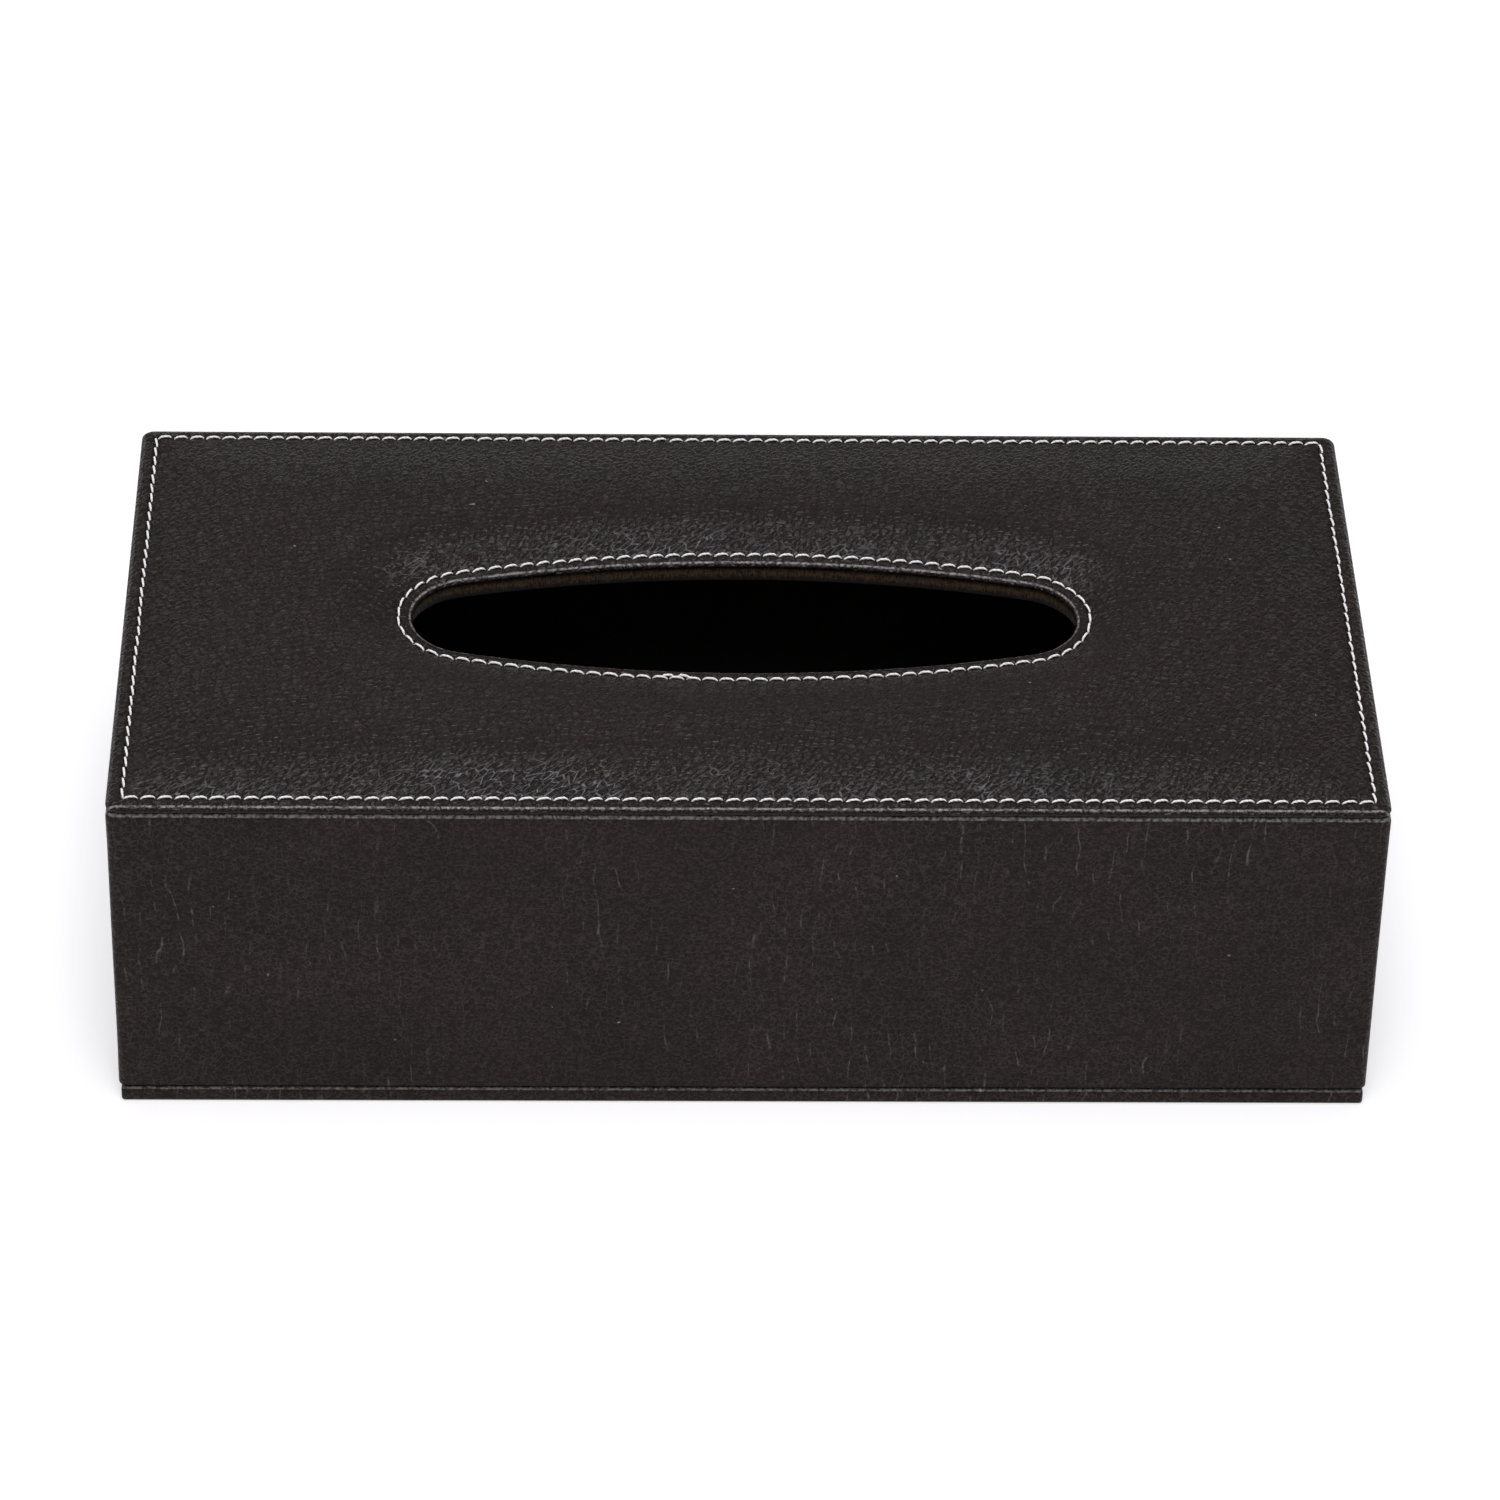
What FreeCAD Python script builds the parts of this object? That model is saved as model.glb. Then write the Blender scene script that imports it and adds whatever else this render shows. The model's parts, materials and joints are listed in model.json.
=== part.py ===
import FreeCAD, Part
import math
import os

# Tissue box cover: boards wrapped in leatherette, with a sewn, padded top that has an oval slot, and a base
# that swings down on a leatherette hinge along the rear edge. Sizes are in millimetres. +Z is up, the front
# faces -Y, and the origin is at the middle of the underside.

# Overall size of the closed cover
OUTER_LENGTH = 250.0
OUTER_DEPTH = 130.0
OUTER_HEIGHT = 75.9

# Sheets and boards
LEATHER = 0.7
LINING = 0.7
WALL_BOARD = 4.0
TOP_BOARD = 3.0
BASE_BOARD = 1.8
ARRIS = 0.8                 # rounding of the boards' outer edges
GLUE_LINE = 0.1             # room left round a piece that is glued into a fitted space

# Sewn top panel
PAD_PINCHED = 0.4           # foam left where a seam pulls the leather down
CROWN_RISE = 1.9            # height of the crown above the edge seam
CROWN_RUN = 22.0            # distance over which the crown rises
CROWN_CORNER = 8.0          # plan rounding of the crown's flat middle
TOP_CORNER = 2.5            # plan rounding of the panel's corners
TURN_UNDER = 10.0           # leather folded under along the outer edges
SLOT_TURN_UNDER = 8.0       # leather folded under round the slot
CROWN_STEPS = 6             # flat strips that make up each swelling

# Oval slot, as the clear opening between the leather lips
SLOT_LENGTH = 133.9
SLOT_WIDTH = 37.1
SLOT_END_RADIUS = 12.2
SLOT_RUN = 16.0             # distance over which the top dips to the slot's seam

# Brown tape that lines the slot's cut edge
COLLAR_TAPE = 0.7
COLLAR_RECESS = 0.8         # how far the tape stands behind the leather lip
COLLAR_HANG = 0.3           # how far the tape reaches below the top board

# Stitches
THREAD = 0.7
STITCH_PITCH = 3.34
STITCH_GAP = 0.5
STITCH_SLANT = 6.0          # degrees that each stitch is turned off the seam's line
SEAM_INSET = 3.2            # edge seam, from the outer edge
SLOT_SEAM_INSET = 2.9       # slot seam, from the slot's lip
SEAM_GROOVE = 1.2           # flat strip on which a row of stitches lies

# Wall leather's lower hem, folded under the boards and up inside
HEM = 10.0

# Base flap and its hinge
BASE_GAP = 0.3              # between the walls and the base
BASE_INSET = 0.5            # base edge, from the walls' outer faces, at the two ends
BASE_PROUD = 0.4            # base edge, beyond the front wall, where a fingernail opens it
BASE_HEM = 10.0             # leather folded on to the top of the base board
HINGE_END_INSET = 6.0       # from the cover's ends to the ends of the hinge
HINGE_RISE = 2.6            # unglued leather above the hinge's axis
CREASE_RADIUS = 0.3         # groove pressed along the axis

# Magnets in the front wall, and the steel strips that they hold
MAGNET_LENGTH = 20.0
MAGNET_THICKNESS = 2.0
MAGNET_HEIGHT = 5.0
MAGNET_SPACING = 160.0
KEEPER_WIDTH = 4.0
KEEPER_THICKNESS = 0.8
KEEPER_EDGE = 0.8           # board left in front of a keeper

# Levels, from the underside up
BASE_TOP = 2 * LEATHER + BASE_BOARD
WALL_BOTTOM = BASE_TOP + BASE_GAP
BOARD_BOTTOM = WALL_BOTTOM + max(LEATHER, LINING)
SEAM_LEVEL = OUTER_HEIGHT - CROWN_RISE
PANEL_EDGE = 2 * LEATHER + PAD_PINCHED
PANEL_BOTTOM = SEAM_LEVEL - PANEL_EDGE
TOP_BOARD_TOP = PANEL_BOTTOM - LEATHER
TOP_BOARD_BOTTOM = TOP_BOARD_TOP - TOP_BOARD
SLOT_SEAM_LEVEL = TOP_BOARD_TOP + PANEL_EDGE
LINING_TOP = TOP_BOARD_BOTTOM - LINING
HINGE_LEVEL = BASE_TOP + BASE_GAP / 2
HINGE_TOP = HINGE_LEVEL + HINGE_RISE
HINGE_BOTTOM = LEATHER

# Half sizes in plan
HALF_LENGTH = OUTER_LENGTH / 2
HALF_DEPTH = OUTER_DEPTH / 2
BOARD_HALF_LENGTH = HALF_LENGTH - LEATHER
BOARD_HALF_DEPTH = HALF_DEPTH - LEATHER
ROOM_HALF_LENGTH = BOARD_HALF_LENGTH - WALL_BOARD
ROOM_HALF_DEPTH = BOARD_HALF_DEPTH - WALL_BOARD
HINGE_HALF_LENGTH = HALF_LENGTH - HINGE_END_INSET
BASE_HALF_LENGTH = HALF_LENGTH - BASE_INSET
BASE_FRONT = -(HALF_DEPTH + BASE_PROUD)

LIP_ROUND = 0.47 * PANEL_EDGE       # nearly half round
PASS = 5.0                          # how far a cutting solid runs past what it cuts
SAME_PLACE = 0.001                  # points closer than this are one point


# Plain shapes

def block(low, high):
    size = [high[i] - low[i] for i in range(3)]
    return Part.makeBox(*size, FreeCAD.Vector(*low))


def slab(half_length, half_depth, bottom, top):
    return block((-half_length, -half_depth, bottom), (half_length, half_depth, top))


def rounded_wire(half_length, half_depth, radius, level):
    """A rectangle about the origin with rounded corners, as four lines and four quarter arcs."""
    edges = []
    last = None
    start = None
    for turn, (sx, sy) in enumerate(((1, 1), (-1, 1), (-1, -1), (1, -1))):
        centre = FreeCAD.Vector(sx * (half_length - radius), sy * (half_depth - radius), level)
        spots = []
        for part in (0, 45, 90):
            angle = math.radians(90 * turn + part)
            spots.append(centre + FreeCAD.Vector(radius * math.cos(angle), radius * math.sin(angle), 0))
        if last is not None:
            edges.append(Part.LineSegment(last, spots[0]).toShape())
        else:
            start = spots[0]
        edges.append(Part.Arc(*spots).toShape())
        last = spots[2]
    edges.append(Part.LineSegment(last, start).toShape())
    return Part.Wire(edges)


def prism(wire, height):
    return Part.Face(wire).extrude(FreeCAD.Vector(0, 0, height))


def rounded_slab(half_length, half_depth, radius, bottom, top):
    return prism(rounded_wire(half_length, half_depth, radius, bottom), top - bottom)


def level_edges(shape):
    return [edge for edge in shape.Edges if edge.BoundBox.ZLength < SAME_PLACE]


# Oval slot

def slot_side_radius():
    """Radius of the long sides, from the slot's length, width and end radius."""
    reach = SLOT_LENGTH / 2 - SLOT_END_RADIUS
    half = SLOT_WIDTH / 2
    return (reach ** 2 + half ** 2 - SLOT_END_RADIUS ** 2) / (2 * (half - SLOT_END_RADIUS))


def slot_joints(growth, level):
    """The four points where the slot's long sides meet its ends, and the middles of the four arcs."""
    side = slot_side_radius()
    reach = SLOT_LENGTH / 2 - SLOT_END_RADIUS
    drop = side - SLOT_WIDTH / 2
    angle = math.atan2(drop, reach)
    end = SLOT_END_RADIUS + growth
    across = reach + end * math.cos(angle)
    along = end * math.sin(angle)
    half_length = SLOT_LENGTH / 2 + growth
    half_width = SLOT_WIDTH / 2 + growth
    ring = ((across, -along), (half_length, 0), (across, along), (0, half_width),
            (-across, along), (-half_length, 0), (-across, -along), (0, -half_width))
    return [FreeCAD.Vector(x, y, level) for x, y in ring]


def slot_wire(growth, level):
    """The slot's outline, grown by a distance: four arcs that meet smoothly."""
    ring = slot_joints(growth, level)
    ring.append(ring[0])
    arcs = [Part.Arc(*ring[first:first + 3]).toShape() for first in (0, 2, 4, 6)]
    return Part.Wire(arcs)


def slot_prism(growth, bottom, top):
    return prism(slot_wire(growth, bottom), top - bottom)


# Swellings of the padded top

def swell(step):
    """Share of the full rise after a number of strips: steep at the seam and level at the end."""
    return math.sin(math.pi / 2 * step / CROWN_STEPS)


def crown(lowered):
    """The swelling inside the edge seam, lowered by a distance."""
    first = SEAM_INSET + SEAM_GROOVE / 2
    floor = SEAM_LEVEL - lowered
    wires = [rounded_wire(HALF_LENGTH - first, HALF_DEPTH - first, SEAM_GROOVE, floor - PAD_PINCHED / 2)]
    for step in range(CROWN_STEPS + 1):
        share = step / CROWN_STEPS
        inset = first + CROWN_RUN * share
        radius = SEAM_GROOVE + (CROWN_CORNER - SEAM_GROOVE) * share
        level = floor + CROWN_RISE * swell(step)
        wires.append(rounded_wire(HALF_LENGTH - inset, HALF_DEPTH - inset, radius, level))
    return Part.makeLoft(wires, True, True)


def slot_dip(lowered):
    """The space above the dip round the slot, lowered by a distance."""
    first = SLOT_SEAM_INSET + SEAM_GROOVE / 2
    floor = SLOT_SEAM_LEVEL - lowered
    rise = OUTER_HEIGHT - SLOT_SEAM_LEVEL
    wires = []
    for step in range(CROWN_STEPS + 1):
        growth = first + SLOT_RUN * step / CROWN_STEPS
        wires.append(slot_wire(growth, floor + rise * swell(step)))
    wires.append(slot_wire(first + SLOT_RUN, OUTER_HEIGHT + PASS))
    return Part.makeLoft(wires, True, True)


def pad_shape(room):
    """The foam inside the sewn panel, smaller than the leather's inside by a room on its curved faces."""
    lowered = LEATHER + room
    edge = rounded_slab(HALF_LENGTH - lowered, HALF_DEPTH - lowered, TOP_CORNER - lowered,
                        PANEL_BOTTOM + LEATHER, SEAM_LEVEL - lowered)
    core_inset = TURN_UNDER + room
    core = slab(HALF_LENGTH - core_inset, HALF_DEPTH - core_inset, TOP_BOARD_TOP, SEAM_LEVEL - lowered)
    shape = edge.fuse([core, crown(lowered)])
    hem_ring = slot_prism(SLOT_TURN_UNDER + room, TOP_BOARD_TOP - PASS, TOP_BOARD_TOP + LEATHER)
    hole = slot_prism(LEATHER + room, TOP_BOARD_TOP - PASS, OUTER_HEIGHT + PASS)
    return shape.cut([slot_dip(lowered), hem_ring, hole]).removeSplitter()


def make_top_leather():
    """The sewn panel's skin: its upper face, the rolled edges and lips, and the hems folded under."""
    edge = rounded_slab(HALF_LENGTH, HALF_DEPTH, TOP_CORNER, PANEL_BOTTOM, SEAM_LEVEL)
    edge = edge.makeFillet(LIP_ROUND, level_edges(edge))
    core = slab(HALF_LENGTH - TURN_UNDER, HALF_DEPTH - TURN_UNDER, TOP_BOARD_TOP, SEAM_LEVEL)
    shape = edge.fuse([core, crown(0.0)])
    hole = slot_prism(0.0, TOP_BOARD_TOP - PASS, OUTER_HEIGHT + PASS)
    shape = shape.cut([slot_dip(0.0), hole]).removeSplitter()
    joints = slot_joints(0.0, 0.0)[0::2]
    lip_edges = []
    for edge in level_edges(shape):
        ends = [FreeCAD.Vector(v.X, v.Y, 0) for v in edge.Vertexes]
        if all(min(end.distanceToPoint(joint) for joint in joints) < SAME_PLACE for end in ends):
            lip_edges.append(edge)
    return shape.makeFillet(LIP_ROUND, lip_edges).cut(pad_shape(0.0))


# Stitches

def stitch():
    """One stitch on the X axis: the upper half of a round-ended thread, flat side down."""
    half = (STITCH_PITCH - STITCH_GAP) / 2
    radius = THREAD / 2
    tip = FreeCAD.Vector(half, 0, 0)
    bend = half - radius
    diagonal = radius * math.sqrt(0.5)
    right, left = [FreeCAD.Vector(side * bend, radius, 0) for side in (1, -1)]
    right_middle, left_middle = [FreeCAD.Vector(side * (bend + diagonal), diagonal, 0) for side in (1, -1)]
    outline = [
        Part.LineSegment(-tip, tip).toShape(),
        Part.Arc(tip, right_middle, right).toShape(),
        Part.LineSegment(right, left).toShape(),
        Part.Arc(left, left_middle, -tip).toShape(),
    ]
    face = Part.Face(Part.Wire(outline))
    return face.revolve(FreeCAD.Vector(0, 0, 0), FreeCAD.Vector(1, 0, 0), 180)


def stitch_row(points):
    """One stitch between each two neighbouring points, turned off their line by the slant."""
    model = stitch()
    up = FreeCAD.Vector(0, 0, 1)
    row = []
    for start, end in zip(points, points[1:]):
        along = end - start
        turn = math.degrees(math.atan2(along.y, along.x)) + STITCH_SLANT
        one = model.copy()
        one.Placement = FreeCAD.Placement((start + end) * 0.5, FreeCAD.Rotation(up, turn))
        row.append(one)
    return row


def make_top_seam_stitches():
    x = HALF_LENGTH - SEAM_INSET
    y = HALF_DEPTH - SEAM_INSET
    corners = [FreeCAD.Vector(*spot, SEAM_LEVEL) for spot in ((-x, -y), (x, -y), (x, y), (-x, y), (-x, -y))]
    stitches = []
    for start, end in zip(corners, corners[1:]):
        count = round((end - start).Length / STITCH_PITCH)
        stitches += stitch_row([start + (end - start) * (step / count) for step in range(count + 1)])
    return Part.makeCompound(stitches)


def make_slot_seam_stitches():
    seam = slot_wire(SLOT_SEAM_INSET, SLOT_SEAM_LEVEL)
    count = round(seam.Length / STITCH_PITCH)
    return Part.makeCompound(stitch_row(seam.discretize(Number=count + 1)))


# Boards and lining

def board_envelope():
    """The outside of the glued boards, with its edges rounded for the leather."""
    box = slab(BOARD_HALF_LENGTH, BOARD_HALF_DEPTH, BOARD_BOTTOM, TOP_BOARD_TOP)
    return box.makeFillet(ARRIS, box.Edges)


def make_top_board():
    board = slab(BOARD_HALF_LENGTH, BOARD_HALF_DEPTH, TOP_BOARD_BOTTOM, TOP_BOARD_TOP)
    hole = slot_prism(COLLAR_RECESS + COLLAR_TAPE + GLUE_LINE, TOP_BOARD_BOTTOM - PASS, TOP_BOARD_TOP + PASS)
    return board.common(board_envelope()).cut(hole)


def magnet_blocks(room):
    """The magnets in the front wall's lower edge, or with a room round them, their pockets."""
    middle = -(BOARD_HALF_DEPTH - WALL_BOARD / 2)
    blocks = []
    for side in (-1, 1):
        x = side * MAGNET_SPACING / 2
        half = MAGNET_LENGTH / 2 + room
        low = (x - half, middle - MAGNET_THICKNESS / 2 - room, BOARD_BOTTOM)
        high = (x + half, middle + MAGNET_THICKNESS / 2 + room, BOARD_BOTTOM + MAGNET_HEIGHT + room)
        blocks.append(block(low, high))
    return blocks


def make_front_wall_board():
    board = block((-BOARD_HALF_LENGTH, -BOARD_HALF_DEPTH, BOARD_BOTTOM),
                  (BOARD_HALF_LENGTH, -ROOM_HALF_DEPTH, TOP_BOARD_BOTTOM))
    return board.common(board_envelope()).cut(magnet_blocks(GLUE_LINE))


def make_rear_wall_board():
    board = block((-BOARD_HALF_LENGTH, ROOM_HALF_DEPTH, BOARD_BOTTOM),
                  (BOARD_HALF_LENGTH, BOARD_HALF_DEPTH, TOP_BOARD_BOTTOM))
    return board.common(board_envelope())


def make_end_wall_board(side):
    faces = sorted((side * ROOM_HALF_LENGTH, side * BOARD_HALF_LENGTH))
    board = block((faces[0], -ROOM_HALF_DEPTH, BOARD_BOTTOM), (faces[1], ROOM_HALF_DEPTH, TOP_BOARD_BOTTOM))
    return board.common(board_envelope())


def make_slot_collar():
    bottom = TOP_BOARD_BOTTOM - COLLAR_HANG
    outer = slot_prism(COLLAR_RECESS + COLLAR_TAPE, bottom, TOP_BOARD_TOP)
    return outer.cut(slot_prism(COLLAR_RECESS, bottom - PASS, TOP_BOARD_TOP + PASS))


def make_top_lining():
    sheet = slab(ROOM_HALF_LENGTH, ROOM_HALF_DEPTH, LINING_TOP, TOP_BOARD_BOTTOM)
    return sheet.cut(slot_prism(COLLAR_RECESS + COLLAR_TAPE + GLUE_LINE, LINING_TOP - PASS, TOP_BOARD_TOP))


def make_front_lining():
    return block((-ROOM_HALF_LENGTH, -ROOM_HALF_DEPTH, WALL_BOTTOM + HEM),
                 (ROOM_HALF_LENGTH, -ROOM_HALF_DEPTH + LINING, LINING_TOP))


def make_rear_lining():
    """The rear wall has no leather hem, so its lining also covers the board's lower edge."""
    sheet = block((-ROOM_HALF_LENGTH, ROOM_HALF_DEPTH - LINING, BOARD_BOTTOM - LINING),
                  (ROOM_HALF_LENGTH, ROOM_HALF_DEPTH, LINING_TOP))
    lip = block((-ROOM_HALF_LENGTH, ROOM_HALF_DEPTH - LINING, BOARD_BOTTOM - LINING),
                (ROOM_HALF_LENGTH, BOARD_HALF_DEPTH - ARRIS, BOARD_BOTTOM))
    return sheet.fuse(lip).removeSplitter()


def make_end_lining(side):
    reach = ROOM_HALF_DEPTH - LINING
    faces = sorted((side * (ROOM_HALF_LENGTH - LINING), side * ROOM_HALF_LENGTH))
    return block((faces[0], -reach, WALL_BOTTOM + HEM), (faces[1], reach, LINING_TOP))


# Wall leather

def make_wall_leather():
    """Outer skin of the four walls, turned over on to the top board, and hemmed below except at the rear."""
    outer = slab(HALF_LENGTH, HALF_DEPTH, WALL_BOTTOM, PANEL_BOTTOM)
    skin = outer.makeFillet(ARRIS + LEATHER, outer.Edges).cut(board_envelope())
    top_opening = slab(HALF_LENGTH - TURN_UNDER, HALF_DEPTH - TURN_UNDER,
                       TOP_BOARD_TOP - PASS, PANEL_BOTTOM + PASS)
    bottom_opening = slab(ROOM_HALF_LENGTH, ROOM_HALF_DEPTH, WALL_BOTTOM - PASS, BOARD_BOTTOM + PASS)
    hem_outer = slab(ROOM_HALF_LENGTH, ROOM_HALF_DEPTH, WALL_BOTTOM, WALL_BOTTOM + HEM)
    hem_inner = slab(ROOM_HALF_LENGTH - LEATHER, ROOM_HALF_DEPTH - LEATHER,
                     WALL_BOTTOM - PASS, WALL_BOTTOM + HEM + PASS)
    skin = skin.cut([top_opening, bottom_opening]).fuse(hem_outer.cut(hem_inner))
    rear_lining_space = block((-ROOM_HALF_LENGTH, ROOM_HALF_DEPTH - LINING, WALL_BOTTOM - PASS),
                              (ROOM_HALF_LENGTH, BOARD_HALF_DEPTH, BOARD_BOTTOM + HEM))
    hinge_space = block((-HINGE_HALF_LENGTH, BOARD_HALF_DEPTH - ARRIS, WALL_BOTTOM - PASS),
                        (HINGE_HALF_LENGTH, HALF_DEPTH + PASS, HINGE_TOP))
    return skin.cut([rear_lining_space, hinge_space]).removeSplitter()


# Base flap

def base_envelope():
    box = block((-BASE_HALF_LENGTH, BASE_FRONT, 0), (BASE_HALF_LENGTH, HALF_DEPTH, BASE_TOP))
    return box.makeFillet(LEATHER, box.Edges)


def base_board_block():
    return block((-BASE_HALF_LENGTH + LEATHER, BASE_FRONT + LEATHER, LEATHER),
                 (BASE_HALF_LENGTH - LEATHER, BOARD_HALF_DEPTH, LEATHER + BASE_BOARD))


def keeper_blocks(room):
    """The steel strips let into the base board's upper face, or with a room round them, their pockets."""
    top = LEATHER + BASE_BOARD
    front = BASE_FRONT + LEATHER + KEEPER_EDGE
    blocks = []
    for side in (-1, 1):
        x = side * MAGNET_SPACING / 2
        half = MAGNET_LENGTH / 2 + room
        blocks.append(block((x - half, front - room, top - KEEPER_THICKNESS - room),
                            (x + half, front + KEEPER_WIDTH + room, top)))
    return blocks


def base_lining_block():
    return block((-BASE_HALF_LENGTH + BASE_HEM, BASE_FRONT + BASE_HEM, LEATHER + BASE_BOARD),
                 (BASE_HALF_LENGTH - BASE_HEM, HALF_DEPTH - BASE_HEM, LEATHER + BASE_BOARD + LINING))


def make_base_leather():
    """Skin of the base: underside, edges and hem, with the rear edge cut away for the hinge."""
    lining_space = block((-BASE_HALF_LENGTH + BASE_HEM, BASE_FRONT + BASE_HEM, LEATHER + BASE_BOARD),
                         (BASE_HALF_LENGTH - BASE_HEM, HALF_DEPTH - BASE_HEM, BASE_TOP + PASS))
    hinge_space = block((-HINGE_HALF_LENGTH, BOARD_HALF_DEPTH, HINGE_BOTTOM),
                        (HINGE_HALF_LENGTH, HALF_DEPTH + PASS, BASE_TOP + PASS))
    return base_envelope().cut([base_board_block(), lining_space, hinge_space])


def make_hinge_strip():
    """The web that bends: upright at rest, with a groove pressed along its axis."""
    web = block((-HINGE_HALF_LENGTH, BOARD_HALF_DEPTH, HINGE_BOTTOM),
                (HINGE_HALF_LENGTH, HALF_DEPTH, HINGE_TOP))
    start = FreeCAD.Vector(-HINGE_HALF_LENGTH - PASS, HALF_DEPTH, HINGE_LEVEL)
    length = 2 * (HINGE_HALF_LENGTH + PASS)
    return web.cut(Part.makeCylinder(CREASE_RADIUS, length, start, FreeCAD.Vector(1, 0, 0)))


NODES = {
    "top_leather": make_top_leather(),
    "top_foam_pad": pad_shape(GLUE_LINE),
    "top_seam_stitches": make_top_seam_stitches(),
    "slot_seam_stitches": make_slot_seam_stitches(),
    "top_board": make_top_board(),
    "front_wall_board": make_front_wall_board(),
    "rear_wall_board": make_rear_wall_board(),
    "left_wall_board": make_end_wall_board(-1),
    "right_wall_board": make_end_wall_board(1),
    "wall_leather": make_wall_leather(),
    "slot_collar": make_slot_collar(),
    "top_lining": make_top_lining(),
    "front_lining": make_front_lining(),
    "rear_lining": make_rear_lining(),
    "left_lining": make_end_lining(-1),
    "right_lining": make_end_lining(1),
    "wall_magnets": Part.makeCompound(magnet_blocks(0.0)),
    "hinge_strip": make_hinge_strip(),
    "base_board": base_board_block().cut(keeper_blocks(GLUE_LINE)),
    "base_leather": make_base_leather(),
    "base_lining": base_lining_block(),
    "base_keepers": Part.makeCompound(keeper_blocks(0.0)),
}

os.makedirs("parts", exist_ok=True)
for node, shape in NODES.items():
    shape.exportStep(os.path.join("parts", node + ".step"))
    state = "valid" if shape.isValid() else "NOT VALID"
    print(f"{node}: {len(shape.Solids)} solids, {shape.Volume:.1f} mm3, {state}")
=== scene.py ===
import json
import math
import random

import bpy
import numpy as np
from mathutils import Matrix, Vector, noise


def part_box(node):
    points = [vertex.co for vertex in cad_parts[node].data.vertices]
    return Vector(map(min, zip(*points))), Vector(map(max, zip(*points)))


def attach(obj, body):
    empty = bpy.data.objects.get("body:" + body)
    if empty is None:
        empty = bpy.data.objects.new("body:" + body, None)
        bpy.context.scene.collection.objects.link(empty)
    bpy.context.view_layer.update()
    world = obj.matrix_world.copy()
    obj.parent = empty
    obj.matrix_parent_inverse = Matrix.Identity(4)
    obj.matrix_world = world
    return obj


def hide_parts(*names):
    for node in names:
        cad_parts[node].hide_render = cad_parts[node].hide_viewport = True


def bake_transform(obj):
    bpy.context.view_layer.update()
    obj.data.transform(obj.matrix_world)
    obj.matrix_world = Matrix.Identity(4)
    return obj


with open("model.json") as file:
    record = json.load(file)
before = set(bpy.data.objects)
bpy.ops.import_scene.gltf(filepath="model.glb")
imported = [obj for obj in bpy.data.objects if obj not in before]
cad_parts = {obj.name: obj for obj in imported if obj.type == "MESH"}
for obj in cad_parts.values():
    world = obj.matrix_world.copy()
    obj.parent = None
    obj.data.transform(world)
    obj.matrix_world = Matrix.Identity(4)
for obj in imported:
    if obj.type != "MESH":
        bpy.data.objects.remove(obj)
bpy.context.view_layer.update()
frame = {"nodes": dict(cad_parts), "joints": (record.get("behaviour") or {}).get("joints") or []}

# Tissue box cover in dark leatherette. Units are metres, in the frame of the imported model: +Z is up and the
# front faces -Y. Pieces take their places from the solids that they stand for.
MM = 0.001
SEED = 7

# Levels and half sizes, read from the solids
panel_low, panel_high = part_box("top_leather")
wall_low, wall_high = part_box("wall_leather")
base_low, base_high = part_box("base_leather")
hinge_low, hinge_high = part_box("hinge_strip")
collar_low, collar_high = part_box("slot_collar")
HALF_LENGTH = panel_high.x
HALF_DEPTH = panel_high.y
CROWN_LEVEL = panel_high.z
BOARD_TOP = panel_low.z
PANEL_BOTTOM = wall_high.z
WALL_BOTTOM = wall_low.z
BASE_TOP = base_high.z
SEAM_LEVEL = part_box("top_seam_stitches")[0].z
SLOT_SEAM_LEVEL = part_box("slot_seam_stitches")[0].z
HINGE = frame["joints"][0]["pos_m"]

# Sewn top panel
LEATHER = 0.7 * MM
SEAM_INSET = 3.2 * MM  # edge seam, from the outer edge
SLOT_SEAM_INSET = 2.9 * MM  # slot seam, from the slot's lip
SEAM_FLAT = 0.6 * MM  # half width of the strip that a seam pulls flat
CROWN_RUN = 22 * MM
SLOT_RUN = 16 * MM
TOP_CORNER = 2.5 * MM
SMALLEST_CORNER = 0.3 * MM
INNER_STEP = 0.2 * MM  # from the start of a roll to the inside of its leather
TURN_UNDER = 10 * MM
SLOT_TURN_UNDER = 8 * MM
EDGE_RUN = 2.6 * MM  # how far in the outer edge starts to roll down
LIP_RUN = 2.4 * MM  # the same, at the slot's lip
CURL = 0.6 * MM  # radius under both rolled edges
ROLL_STEPS = 10
GROOVE_DEPTH = 0.3 * MM
GROOVE_WIDTH = 0.75 * MM
DIMPLE_DEPTH = 0.22 * MM
RIDGE_HEIGHT = 0.16 * MM
PUCKER = 0.07 * MM
PUCKER_REACH = 1.6 * MM
RIDGE_OFFSET = 1.6 * MM  # from a seam's line to the ridge beside it
RIDGE_WIDTH = 0.75 * MM
SEAM_REACH = 9 * MM  # how far a seam's own rings go into the padded face
CORNER_BLEND = 7 * MM  # width of the rounding along the panel's diagonals
SWELL_WAVES = 0.16 * MM  # low waves in the padded face
SWELL_SIZE = 34 * MM
SWELL_SEED = 3.1
FOAM_GAP = 0.05 * MM  # between the skin and the foam
SEAM_HALVES = (HALF_LENGTH - SEAM_INSET, HALF_DEPTH - SEAM_INSET)

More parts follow.
